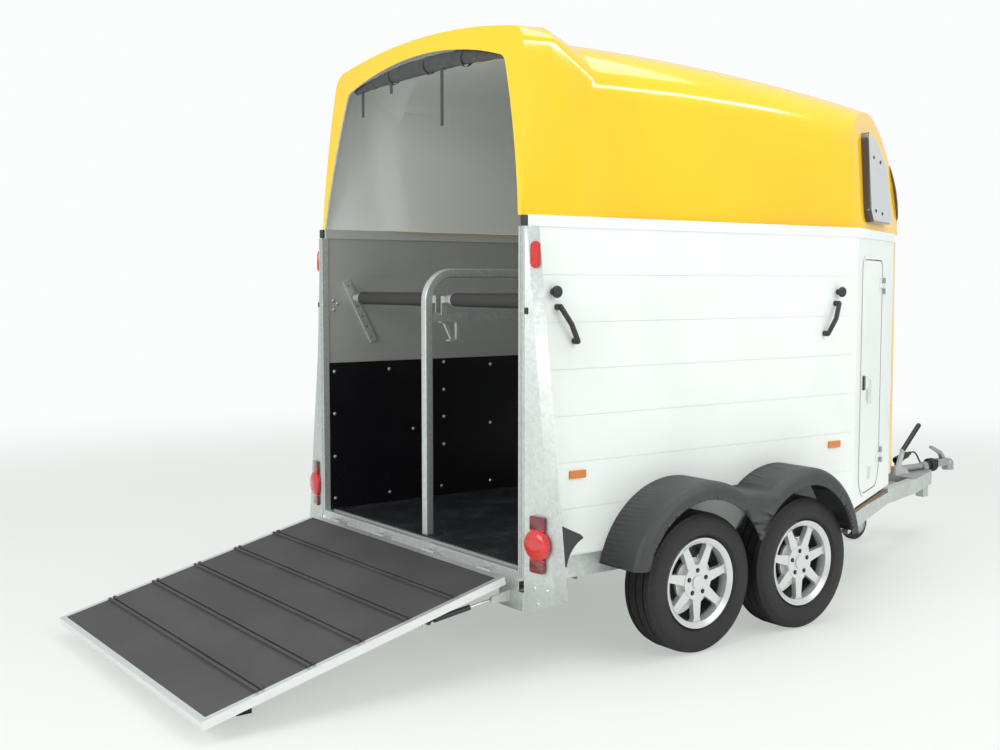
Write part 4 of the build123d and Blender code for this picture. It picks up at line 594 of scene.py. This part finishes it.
softbox("top_box", (0.5, -1.0, 6.5), (0, 0, 1), 5.0, 3.5, 150)
softbox("right_box", (0.5, -7.5, 4.5), (0, 0, 1.2), 6.0, 2.5, 165)
softbox("rear_box", (-7.5, -1.0, 3.5), (0, 0, 1.2), 4.0, 3.0, 250)
softbox("strip_box", (3.5, -4.0, 5.6), (0.5, 0, 2.2), 3.6, 0.25, 45)
bpy.context.scene.view_settings.view_transform = "Standard"
print("stage and", len(bpy.data.lights), "lamps")

# %% [markdown]
# ## Helpers for modelling by hand
# Each new piece starts as a primitive and is shaped in edit mode. These helpers deselect what came
# before, pick faces by their place, and settle a finished piece: its transform goes into its mesh, it
# gets a name and a finish, and it rides on its body.


# %% Modelling helpers
def alone(piece=None):
    """Leaves edit mode and selects only this piece."""
    if bpy.context.object and bpy.context.object.mode != "OBJECT":
        bpy.ops.object.mode_set(mode="OBJECT")
    bpy.ops.object.select_all(action="DESELECT")
    if piece:
        bpy.context.view_layer.objects.active = piece
        piece.select_set(True)
    return piece


def pick(piece, kind, test):
    """In edit mode, selects the vertices, edges or faces whose middle passes the test."""
    bpy.ops.object.mode_set(mode="OBJECT")
    mesh = piece.data
    for part in (mesh.vertices, mesh.edges, mesh.polygons):
        for item in part:
            item.select = False
    if kind == "VERT":
        for v in mesh.vertices:
            v.select = bool(test(v.co, v.normal))
    elif kind == "EDGE":
        for e in mesh.edges:
            a, b = (mesh.vertices[i].co for i in e.vertices)
            e.select = bool(test((a + b) / 2, (b - a).normalized()))
    else:
        for p in mesh.polygons:
            p.select = bool(test(p.center, p.normal))
    bpy.ops.object.mode_set(mode="EDIT")
    bpy.ops.mesh.select_mode(type=kind)


def merged(name, pieces):
    """Joins pieces into one."""
    alone(pieces[0])
    for piece in pieces:
        piece.select_set(True)
    if len(pieces) > 1:
        bpy.ops.object.join()
    made = bpy.context.object
    made.name = name
    return made


def settle(piece, name, finish, body, angle=35):
    """Applies modifiers and transforms, then names, finishes and seats the piece."""
    alone(piece)
    for modifier in list(piece.modifiers):
        bpy.ops.object.modifier_apply(modifier=modifier.name)
    bpy.ops.object.transform_apply(location=True, rotation=True, scale=True)
    piece.name = name
    piece.data.name = name
    if finish:
        piece.data.materials.clear()
        piece.data.materials.append(finish)
    bpy.ops.object.shade_smooth_by_angle(angle=math.radians(angle))
    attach(piece, body)
    return piece


def copied(piece, matrix):
    """A copy with its own mesh, placed by a matrix."""
    twin = piece.copy()
    twin.data = piece.data.copy()
    bpy.context.scene.collection.objects.link(twin)
    twin.matrix_world = matrix @ piece.matrix_world
    return twin


def outwards(piece):
    """Turns every face of a piece outwards."""
    alone(piece)
    bpy.ops.object.mode_set(mode="EDIT")
    bpy.ops.mesh.select_all(action="SELECT")
    bpy.ops.mesh.normals_make_consistent(inside=False)
    bpy.ops.object.mode_set(mode="OBJECT")


def turned_profile(name, points, steps):
    """Spins a line of (radius, along) points about the Y axis through the origin."""
    mesh = bpy.data.meshes.new(name)
    line = [(0.0, along, radius) for radius, along in points]
    mesh.from_pydata(line, [(i, i + 1) for i in range(len(line) - 1)], [])
    piece = bpy.data.objects.new(name, mesh)
    bpy.context.scene.collection.objects.link(piece)
    alone(piece)
    bpy.ops.object.mode_set(mode="EDIT")
    bpy.ops.mesh.select_all(action="SELECT")
    bpy.ops.mesh.spin(steps=steps, angle=2 * math.pi, center=(0, 0, 0), axis=(0, 1, 0))
    bpy.ops.mesh.select_all(action="SELECT")
    bpy.ops.mesh.remove_doubles(threshold=0.00002)
    bpy.ops.mesh.normals_make_consistent(inside=False)
    bpy.ops.object.mode_set(mode="OBJECT")
    return piece


# %% [markdown]
# ## Bolts and rivets
# Dozens of dome-headed bolts hold the boards and brackets. One head is modelled on a washer and then
# copied with a matrix that turns its axis along the wall's normal.


# %% One bolt head, many places
def bolt_head(radius):
    """A dome on a thin washer, standing along +Z."""
    alone()
    bpy.ops.mesh.primitive_cylinder_add(vertices=14, radius=radius * 1.25, depth=radius * 0.16)
    washer = bpy.context.object
    bpy.ops.object.mode_set(mode="EDIT")
    pick(washer, "FACE", lambda c, n: n.z > 0.9)
    bpy.ops.mesh.inset(thickness=radius * 0.25, depth=0)
    bpy.ops.mesh.extrude_region_move(TRANSFORM_OT_translate={"value": (0, 0, radius * 0.35)})
    bpy.ops.transform.resize(value=(0.82, 0.82, 1))
    bpy.ops.mesh.extrude_region_move(TRANSFORM_OT_translate={"value": (0, 0, radius * 0.18)})
    bpy.ops.transform.resize(value=(0.5, 0.5, 1))
    bpy.ops.object.mode_set(mode="OBJECT")
    return washer


def bolt_row(name, places, normal, radius, body, finish=None):
    """Copies of one bolt head at these points, in millimetres from the rear posts."""
    head = bolt_head(radius)
    turn = Vector(normal).to_track_quat("Z", "Y").to_matrix().to_4x4()
    copies = [copied(head, Matrix.Translation(at(*p)) @ turn) for p in places]
    bpy.data.objects.remove(head)
    made = merged(name, copies)
    return settle(made, name, finish or bolt_zinc, body)


# %% [markdown]
# ## The lead
# A black cable runs from the parked plug down to the neck of the coupling and is wound round the
# bellows. It is one NURBS line: the turns are sixteen points each of the same spline, a little closer
# together at the start. It stands for the plain tube and ring of the solids.

# %% Lead
NECK_Z = 418
LEAD_D = 0.010
LEAD_TURN_R = 38.4


def guide(name, points):
    """A smooth line through space with these control points, in millimetres from the rear posts."""
    curve = bpy.data.curves.new(name, "CURVE")
    curve.dimensions = "3D"
    spline = curve.splines.new("NURBS")
    spline.points.add(len(points) - 1)
    for point, place in zip(spline.points, points):
        point.co = (*at(*place), 1)
    spline.order_u = 3
    spline.use_endpoint_u = True
    spline.resolution_u = 8
    line = bpy.data.objects.new(name, curve)
    bpy.context.scene.collection.objects.link(line)
    return line


def line_length(line):
    mesh = bpy.data.meshes.new_from_object(line)
    spots = [v.co for v in mesh.vertices]
    total = sum((b - a).length for a, b in zip(spots, spots[1:]))
    bpy.data.meshes.remove(mesh)
    return total


lead_points = [(3927, -26, 442), (3921, -28, 442), (3916, -31, 440)]
turn_count = 4.5
steps = int(turn_count * 16)
for i in range(steps + 1):
    share = 1 - i / steps
    angle = math.radians(-10 - 360 * turn_count * share)
    lead_points.append((3856 + 52 * share, LEAD_TURN_R * math.cos(angle),
                        NECK_Z + LEAD_TURN_R * math.sin(angle)))
lead_points += [(3850, 38, 420), (3838, 39, 430), (3818, 39, 452), (3797, 42, 487), (3768, 45, 511.1),
                (3730.4, 45, 501.1)]
lead = guide("lead", lead_points)
lead_length = line_length(lead)
lead.data.bevel_depth = LEAD_D / 2
lead.data.bevel_resolution = 3
lead.data.use_fill_caps = True
lead.data.materials.append(soft_rubber)
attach(lead, "trailer")
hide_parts("plug_cable", "cable_coil")
at(*lead_points[0])
print("lead", round(lead_length, 3), "m")

# %% [markdown]
# ## Padded bars
# Each horse has a bar behind it and one at its chest. A steel tube carries a foam sleeve, with a bare
# collar at both ends. The sleeve starts as a thick-walled roll a little too small, and a short cloth
# simulation with pressure swells it, so that it looks like foam and not like pipe.

# %% Padded bars
SLEEVE_R = 0.0315
ROUND_STEPS = 28
bar_places = {"rear": (165, 1500, 796), "breast": (1955, 1080, 788)}


def foam_roll(name, length):
    """A closed roll along Y with soft shoulders, its middle at the origin."""
    half = length / 2
    shoulder = [(0.0, -half), (0.022, -half), (0.027, -half + 0.004), (SLEEVE_R, -half + 0.014)]
    stations = 26
    run = [(SLEEVE_R, -half + 0.014 + (length - 0.028) * i / stations) for i in range(1, stations)]
    points = shoulder + run + [(r, -a) for r, a in reversed(shoulder)]
    return turned_profile(name, points, ROUND_STEPS)


def swollen(piece, voxel, pressure, cap):
    """Remeshes a roll and lets a little pressure swell it."""
    alone(piece)
    remesh = piece.modifiers.new("remesh", "REMESH")
    remesh.mode = "VOXEL"
    remesh.voxel_size = voxel
    bpy.ops.object.modifier_apply(modifier="remesh")
    before = [v.co.copy() for v in piece.data.vertices]
    cloth = piece.modifiers.new("cloth", "CLOTH")
    cloth.settings.use_pressure = True
    cloth.settings.uniform_pressure_force = pressure
    cloth.settings.effector_weights.gravity = 0
    for number in range(1, 21):
        bpy.context.scene.frame_set(number)
    bpy.ops.object.modifier_apply(modifier="cloth")
    bpy.context.scene.frame_set(1)
    for vertex, start in zip(piece.data.vertices, before):
        move = vertex.co - start
        if move.length > cap:
            vertex.co = start + move * (cap / move.length)
    smooth = piece.modifiers.new("smooth", "SUBSURF")
    smooth.levels = smooth.render_levels = 1
    bpy.ops.object.modifier_apply(modifier="smooth")
    return piece


SLEEVE_Y0 = 106
SLEEVE_Y1 = 732
sleeve = swollen(foam_roll("sleeve", (SLEEVE_Y1 - SLEEVE_Y0) / 1000), 0.006, 4.0, 0.003)
sleeve_middle = (SLEEVE_Y0 + SLEEVE_Y1) / 2
for name, (x, z, end) in bar_places.items():
    for side, sign in (("right", -1), ("left", 1)):
        foam = copied(sleeve, Matrix.Translation(at(x, sign * sleeve_middle, z)))
        settle(foam, f"bar_sleeve_{name}_{side}", foam_sleeve, "trailer")
bpy.data.objects.remove(sleeve)

# %% [markdown]
# The tubes show at both ends of each sleeve. A collar with a turned groove slides over the tube, so one
# profile is spun for all four bars.

# %% Bar tubes and collars
TUBE_Y0 = 51
tubes = []
for x, z, end in bar_places.values():
    for sign in (-1, 1):
        mid = (TUBE_Y0 + end) / 2000
        a = TUBE_Y0 / 1000 - mid
        b = end / 1000 - mid
        s0 = SLEEVE_Y0 / 1000 - mid
        s1 = SLEEVE_Y1 / 1000 - mid
        profile = [(0.0, a), (0.0175, a), (0.0188, a + 0.0015), (0.0188, s0 - 0.022), (0.0225, s0 - 0.021),
                   (0.0225, s0 - 0.012), (0.0212, s0 - 0.011), (0.0212, s0 - 0.009), (0.0225, s0 - 0.008),
                   (0.0225, s0 + 0.01), (0.0188, s0 + 0.011), (0.0188, s1 - 0.011), (0.0225, s1 - 0.01),
                   (0.0225, s1 + 0.008), (0.0212, s1 + 0.009), (0.0212, s1 + 0.011), (0.0225, s1 + 0.012),
                   (0.0225, s1 + 0.021), (0.0188, s1 + 0.022), (0.0188, b - 0.0015), (0.0175, b), (0.0, b)]
        bar = turned_profile("bar_tube", profile, ROUND_STEPS)
        bar.matrix_world = Matrix.Translation(at(x, sign * mid * 1000, z)) @ Matrix.Diagonal((1, sign, 1, 1))
        tubes.append(bar)
for bar in tubes:
    alone(bar)
    bpy.ops.object.transform_apply(location=True, rotation=True, scale=True)
    outwards(bar)
bar_tubes = settle(merged("bar_tubes", tubes), "bar_tubes", bolt_zinc, "trailer")
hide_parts("padded_bars")
print("bar tubes", len(bar_tubes.data.polygons), "faces")

# %% [markdown]
# ## Bolts on the boards and walls
# The kick boards are held by dome bolts in staggered rows, the wall behind them by three bolts near
# each post, the posts' feet by three more, the windows by four dark ones each, and the inside of the
# rail by a line of small screws. One helper sets them all, each row with its own normal.

# %% Bolts
board_bolts = []
for x, levels in ((52, (1128, 913, 695, 481)), (374, (1129, 481)), (519, (806,)), (699, (482,)),
                  (714, (1153, 1004, 858, 709)), (1020, (1129, 806, 482)), (1343, (1129, 482)),
                  (1500, (806,)), (1680, (1129, 482)), (1880, (1129, 806, 482))):
    board_bolts += [(x, z) for z in levels]
WING_LEAN = 0.207
WALL_BOLTS = ((54, 1486), (76, 1472), (56, 1441))
FOOT_BOLTS = ((9, 909, 370), (22, 971, 369), (12.5, 926, 310))
WINDOW_BOLTS = ((2325.6, 706.8, 2209.8), (2466.2, 641.2, 2198.9), (2284.9, 757.9, 1937.5),
                (2419.9, 694.4, 1930.3))
RAIL_SCREWS = [(75 + 387 * i, 1807) for i in range(6)]
for side, sign in (("right", -1), ("left", 1)):
    inwards = (0, -sign, 0)
    bolt_row(f"board_bolts_{side}", [(x, sign * 818.4, z) for x, z in board_bolts], inwards, 0.0075, "trailer")
    bolt_row(f"wall_bolts_{side}", [(x, sign * 824.6, z) for x, z in WALL_BOLTS], inwards, 0.009, "trailer")
    bolt_row(f"foot_bolts_{side}", [(x, sign * y, z) for x, y, z in FOOT_BOLTS], (-1, sign * WING_LEAN, 0),
             0.008, "trailer")
    bolt_row(f"window_bolts_{side}", [(x, sign * y, z) for x, y, z in WINDOW_BOLTS],
             (0.427, sign * 0.898, 0.105), 0.008, "trailer", fine_plastic)
    bolt_row(f"rail_screws_{side}", [(x, sign * 825.2, z) for x, z in RAIL_SCREWS], inwards, 0.006, "trailer")
print("bolts", 2 * sum(len(row) for row in (board_bolts, WALL_BOLTS, FOOT_BOLTS, WINDOW_BOLTS, RAIL_SCREWS)))

# %% [markdown]
# ## Tail lamps
# The lamp is a bulging lens between two dark tabs. The lens starts as a cylinder of sixteen sides. Its
# outer face is pushed out and drawn in four times, so it bulges. The tabs are bevelled blocks. Both lie
# on the post's wing plate, which is turned by about twelve degrees. Higher up sits an oval marker.

# %% Tail lamps
LAMP_LEAN = math.atan(WING_LEAN)
LENS_R = 0.064
TABS = ((0.062, 0.084), (0.058, -0.082))


def lens_bulge():
    alone()
    bpy.ops.mesh.primitive_cylinder_add(vertices=16, radius=1, depth=0.012)
    lens = bpy.context.object
    bpy.ops.object.mode_set(mode="EDIT")
    bpy.ops.transform.resize(value=(LENS_R, 0.063, 1))
    pick(lens, "FACE", lambda c, n: n.z > 0.9)
    for rise, shrink in ((0.007, 0.90), (0.006, 0.84), (0.0035, 0.72), (0.001, 0.45)):
        bpy.ops.mesh.extrude_region_move(TRANSFORM_OT_translate={"value": (0, 0, rise)})
        bpy.ops.transform.resize(value=(shrink, shrink, 1))
    bpy.ops.object.mode_set(mode="OBJECT")
    return lens


def lamp_tab(height, y):
    alone()
    bpy.ops.mesh.primitive_cube_add(size=1, location=(0, y, 0.002))
    tab = bpy.context.object
    tab.scale = (0.074, height, 0.013)
    bpy.ops.object.transform_apply(location=True, rotation=True, scale=True)
    bpy.ops.object.mode_set(mode="EDIT")
    pick(tab, "EDGE", lambda c, d: abs(d.z) > 0.9)
    bpy.ops.mesh.bevel(offset=0.010, segments=3, affect="EDGES")
    pick(tab, "FACE", lambda c, n: n.z > 0.9)
    bpy.ops.mesh.inset(thickness=0.004, depth=0.0015)
    bpy.ops.object.mode_set(mode="OBJECT")
    return tab


def oval_marker():
    alone()
    bpy.ops.mesh.primitive_cylinder_add(vertices=28, radius=0.02, depth=0.010)
    oval = bpy.context.object
    pick(oval, "VERT", lambda c, n: c.y > 0.0005)
    bpy.ops.transform.translate(value=(0, 0.032, 0))
    pick(oval, "VERT", lambda c, n: c.y < -0.0005)
    bpy.ops.transform.translate(value=(0, -0.032, 0))
    pick(oval, "FACE", lambda c, n: n.z > 0.9)
    bpy.ops.mesh.inset(thickness=0.003, depth=0.0)
    bpy.ops.mesh.extrude_region_move(TRANSFORM_OT_translate={"value": (0, 0, 0.005)})
    bpy.ops.transform.resize(value=(0.9, 0.96, 1))
    bpy.ops.object.mode_set(mode="OBJECT")
    return oval


def seat(place, normal):
    """Local X outwards, Y up and Z along the normal, at a place."""
    z = Vector(normal).normalized()
    y = (Vector((0, 0, 1)) - z * z.z).normalized()
    x = y.cross(z)
    return Matrix.Translation(place) @ Matrix((x, y, z)).transposed().to_4x4()


lamp_pieces = []
for side, sign in (("right", -1), ("left", 1)):
    rear = (-math.cos(LAMP_LEAN), sign * math.sin(LAMP_LEAN), 0)
    face = seat(at(8.5, sign * 931, LAMP_Z), rear)
    lens = lens_bulge()
    lens.matrix_world = face @ Matrix.Translation((0, 0, 0.008))
    tabs = [lamp_tab(height, middle) for height, middle in TABS]
    for tab in tabs:
        tab.matrix_world = face @ Matrix.Translation((0, 0, 0.003))
    name = "tail_lamp_" + side
    lamp = settle(merged(name, [lens] + tabs), name, tail_lens, "trailer")
    spot = at(22, sign * 892, 1685)
    oval = oval_marker()
    oval.matrix_world = seat(spot, (-0.70, sign * 0.71, 0.03)) @ Matrix.Translation((0, 0, 0.006))
    marker = settle(oval, "marker_lamp_" + side, lens_red, "trailer")
    lamp_pieces += [lamp, marker]
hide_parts("rear_lamps")
print("lamps", [len(p.data.polygons) for p in lamp_pieces])

# %% [markdown]
# ## Wheel bolts
# Five recesses with a bolt in each sit around the hub. They are black: a painted shade in the lug holes. One
# recess is modelled and turned about the axle, and each set rides on its wheel, so that it turns with it.

# %% Wheel bolts
BOLT_CIRCLE = 0.052


def painted_shade_cup():
    alone()
    bpy.ops.mesh.primitive_cylinder_add(vertices=18, radius=0.0105, depth=0.002)
    cup = bpy.context.object
    bpy.ops.object.mode_set(mode="EDIT")
    pick(cup, "FACE", lambda c, n: n.z > 0.9)
    bpy.ops.mesh.inset(thickness=0.0022, depth=-0.0008)
    bpy.ops.mesh.inset(thickness=0.0025, depth=0)
    bpy.ops.mesh.extrude_region_move(TRANSFORM_OT_translate={"value": (0, 0, 0.0022)})
    bpy.ops.object.mode_set(mode="OBJECT")
    return cup


for place, axle in AXLE_X.items():
    for side, sign in (("right", -1), ("left", 1)):
        cup = painted_shade_cup()
        cups = []
        for k in range(5):
            turn = math.radians(90 + 72 * k)
            spot = at(axle, sign * 1016.6, TYRE_R) + Vector((math.cos(turn), 0, math.sin(turn))) * BOLT_CIRCLE
            cups.append(copied(cup, seat(spot, (0, sign, 0))))
        bpy.data.objects.remove(cup)
        # The black cups are a painted shade in the lug holes.
        settle(merged("cups", cups), f"wheel_bolts_{place}_{side}", strut_paint_and_recess_shade, f"wheel_{place}_{side}")
print("wheel bolts", 5 * 2 * len(AXLE_X))

# %% [markdown]
# ## Mudguards
# The guards end close behind the front wheel. A merged copy of the solid keeps its double arch, and its
# front part is drawn back in edit mode; the copy stands for the solid.

# %% Mudguards
for side in ("right", "left"):
    node = nodes["mudguard_" + side]
    guard = node.copy()
    guard.data = node.data.copy()
    bpy.context.scene.collection.objects.link(guard)
    guard.modifiers.clear()
    alone(guard)
    bpy.ops.object.mode_set(mode="EDIT")
    bpy.ops.mesh.select_all(action="SELECT")
    bpy.ops.mesh.remove_doubles(threshold=0.00005)
    axle = at(AXLE_X["front"], 0, 0).x
    pick(guard, "VERT", lambda c, n: c.x > axle)
    bpy.ops.transform.resize(value=(0.86, 1, 1), center_override=(axle, 0, 0))
    settle(guard, "arch_" + side, guard_plastic, "trailer", 32)
    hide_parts("mudguard_" + side)
print("mudguards fitted")

# %% [markdown]
# ## Rolled curtain
# A black cloth curtain is rolled up under the rear arch, thickest at its middle. A NURBS line gives the
# roll its bow, a bevel that follows the points' radius gives its body, and a displacement by a cloudy
# pattern makes the cloth lumpy. Bands hold it, and webbing ends hang from it.

# %% Rolled curtain
roll_line = guide("roll", [(84, -617, 2500), (91, -480, 2520), (102, -180, 2545), (102, 180, 2545),
                           (91, 480, 2520), (84, 617, 2500)])
for point, swell in zip(roll_line.data.splines[0].points, (0.8, 1.1, 1.8, 1.8, 1.1, 0.8)):
    point.radius = swell
roll_line.data.bevel_depth = 0.0205
roll_line.data.bevel_resolution = 8
roll_line.data.use_fill_caps = True
roll_line.data.splines[0].resolution_u = 40
alone(roll_line)
bpy.ops.object.convert(target="MESH")
roll = bpy.context.object
folds = bpy.data.textures.new("folds", "CLOUDS")
folds.noise_scale = 0.05
lumps = roll.modifiers.new("lumps", "DISPLACE")
lumps.texture = folds
lumps.texture_coords = "LOCAL"
lumps.strength = 0.007
lumps.mid_level = 0.6
roll = settle(roll, "curtain_roll", curtain_cloth, "trailer", 60)


def band(y, z, x, slope, radius):
    """A strap once round the roll."""
    ring = [(radius, -0.011), (radius + 0.0012, -0.011), (radius + 0.0012, 0.011), (radius, 0.011),
            (radius, -0.011)]
    made = turned_profile("band", ring, ROUND_STEPS)
    made.matrix_world = Matrix.Translation(at(x, y, z)) @ Matrix.Rotation(slope, 4, "X")
    return made


def ribbon(x, y, top, length):
    """A hanging webbing end, as a thin bevelled strip."""
    alone()
    bpy.ops.mesh.primitive_cube_add(size=1, location=(0, 0, 0))
    made = bpy.context.object
    made.scale = (0.0028, 0.022, length / 1000)
    bpy.ops.object.transform_apply(location=False, rotation=False, scale=True)
    bpy.ops.object.mode_set(mode="EDIT")
    bpy.ops.mesh.select_all(action="SELECT")
    bpy.ops.mesh.bevel(offset=0.0008, segments=2, affect="EDGES")
    bpy.ops.object.mode_set(mode="OBJECT")
    made.location = at(x, y, top - length / 2)
    return made


straps = [band(-300, 2530, 97, 0.10, 0.033), band(0, 2541, 101, 0.0, 0.0365),
          band(300, 2530, 97, -0.10, 0.033),
          ribbon(83.4, 560, 2490, 118), ribbon(86.9, 300, 2512, 58), ribbon(86.9, -130, 2512, 250)]
straps = settle(merged("curtain_straps", straps), "curtain_straps", webbing, "trailer")
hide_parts("rolled_curtain")
print("curtain", len(roll.data.polygons), "faces, straps", len(straps.data.polygons))

# %% [markdown]
# ## Jockey wheel
# The rubber tread sits on a pale rim. The solid keeps the rubber, and a turned dish closes each side.
# It rides on the wheel's body, so that it rolls with it.

# %% Jockey wheel dishes
dishes = []
for sign in (-1, 1):
    profile = [(0.0, 0.0), (0.010, 0.0), (0.012, -0.002), (0.0195, -0.003), (0.0205, -0.012),
               (0.045, -0.0125), (0.056, -0.006), (0.0612, -0.003), (0.0612, -0.0127)]
    dish = turned_profile("dish", [(radius, -sign * along) for radius, along in profile], 36)
    dish.matrix_world = Matrix.Translation(at(3260, 100 + sign * 27.5, 100))
    dishes.append(dish)
settle(merged("jockey_dishes", dishes), "jockey_dishes", alloy_plain, "jockey_wheel")

# %% [markdown]
# ## Small ends
# Black plastic caps close the ends of the top rail, and each post has a white spring latch with a rubber
# foot. The caps and the feet start as bevelled blocks, and the latch pins are turned.

# %% Small ends


def block(size, place, bevel):
    alone()
    bpy.ops.mesh.primitive_cube_add(size=1)
    made = bpy.context.object
    made.scale = [v / 1000 for v in size]
    bpy.ops.object.transform_apply(location=False, rotation=False, scale=True)
    bpy.ops.object.mode_set(mode="EDIT")
    bpy.ops.mesh.select_all(action="SELECT")
    bpy.ops.mesh.bevel(offset=bevel / 1000, segments=3, affect="EDGES")
    bpy.ops.object.mode_set(mode="OBJECT")
    made.location = at(*place)
    return made


caps = [block((14, 34, 42), (3.2, sign * 842, 1820), 4) for sign in (-1, 1)]
settle(merged("rail_caps", caps), "rail_caps", fine_plastic, "trailer")
PIN_PROFILE = ((0.0, -0.020), (0.006, -0.020), (0.007, -0.018), (0.007, 0.004), (0.0105, 0.005),
               (0.0105, 0.013), (0.008, 0.016), (0.0, 0.016))
latches = []
feet = []
for sign in (-1, 1):
    pin = turned_profile("pin", PIN_PROFILE, 20)
    pin.matrix_world = Matrix.Translation(at(-0.5, sign * 838, 1466)) @ Matrix.Diagonal((1, sign, 1, 1))
    latches.append(pin)
    feet.append(block((18, 16, 26), (0.0, sign * 866, 1466), 4))
for pin in latches:
    alone(pin)
    bpy.ops.object.transform_apply(location=True, rotation=True, scale=True)
    outwards(pin)
settle(merged("latch_pins", latches), "latch_pins", bolt_zinc, "trailer")
settle(merged("latch_feet", feet), "latch_feet", soft_rubber, "trailer")
print("caps and latches made")
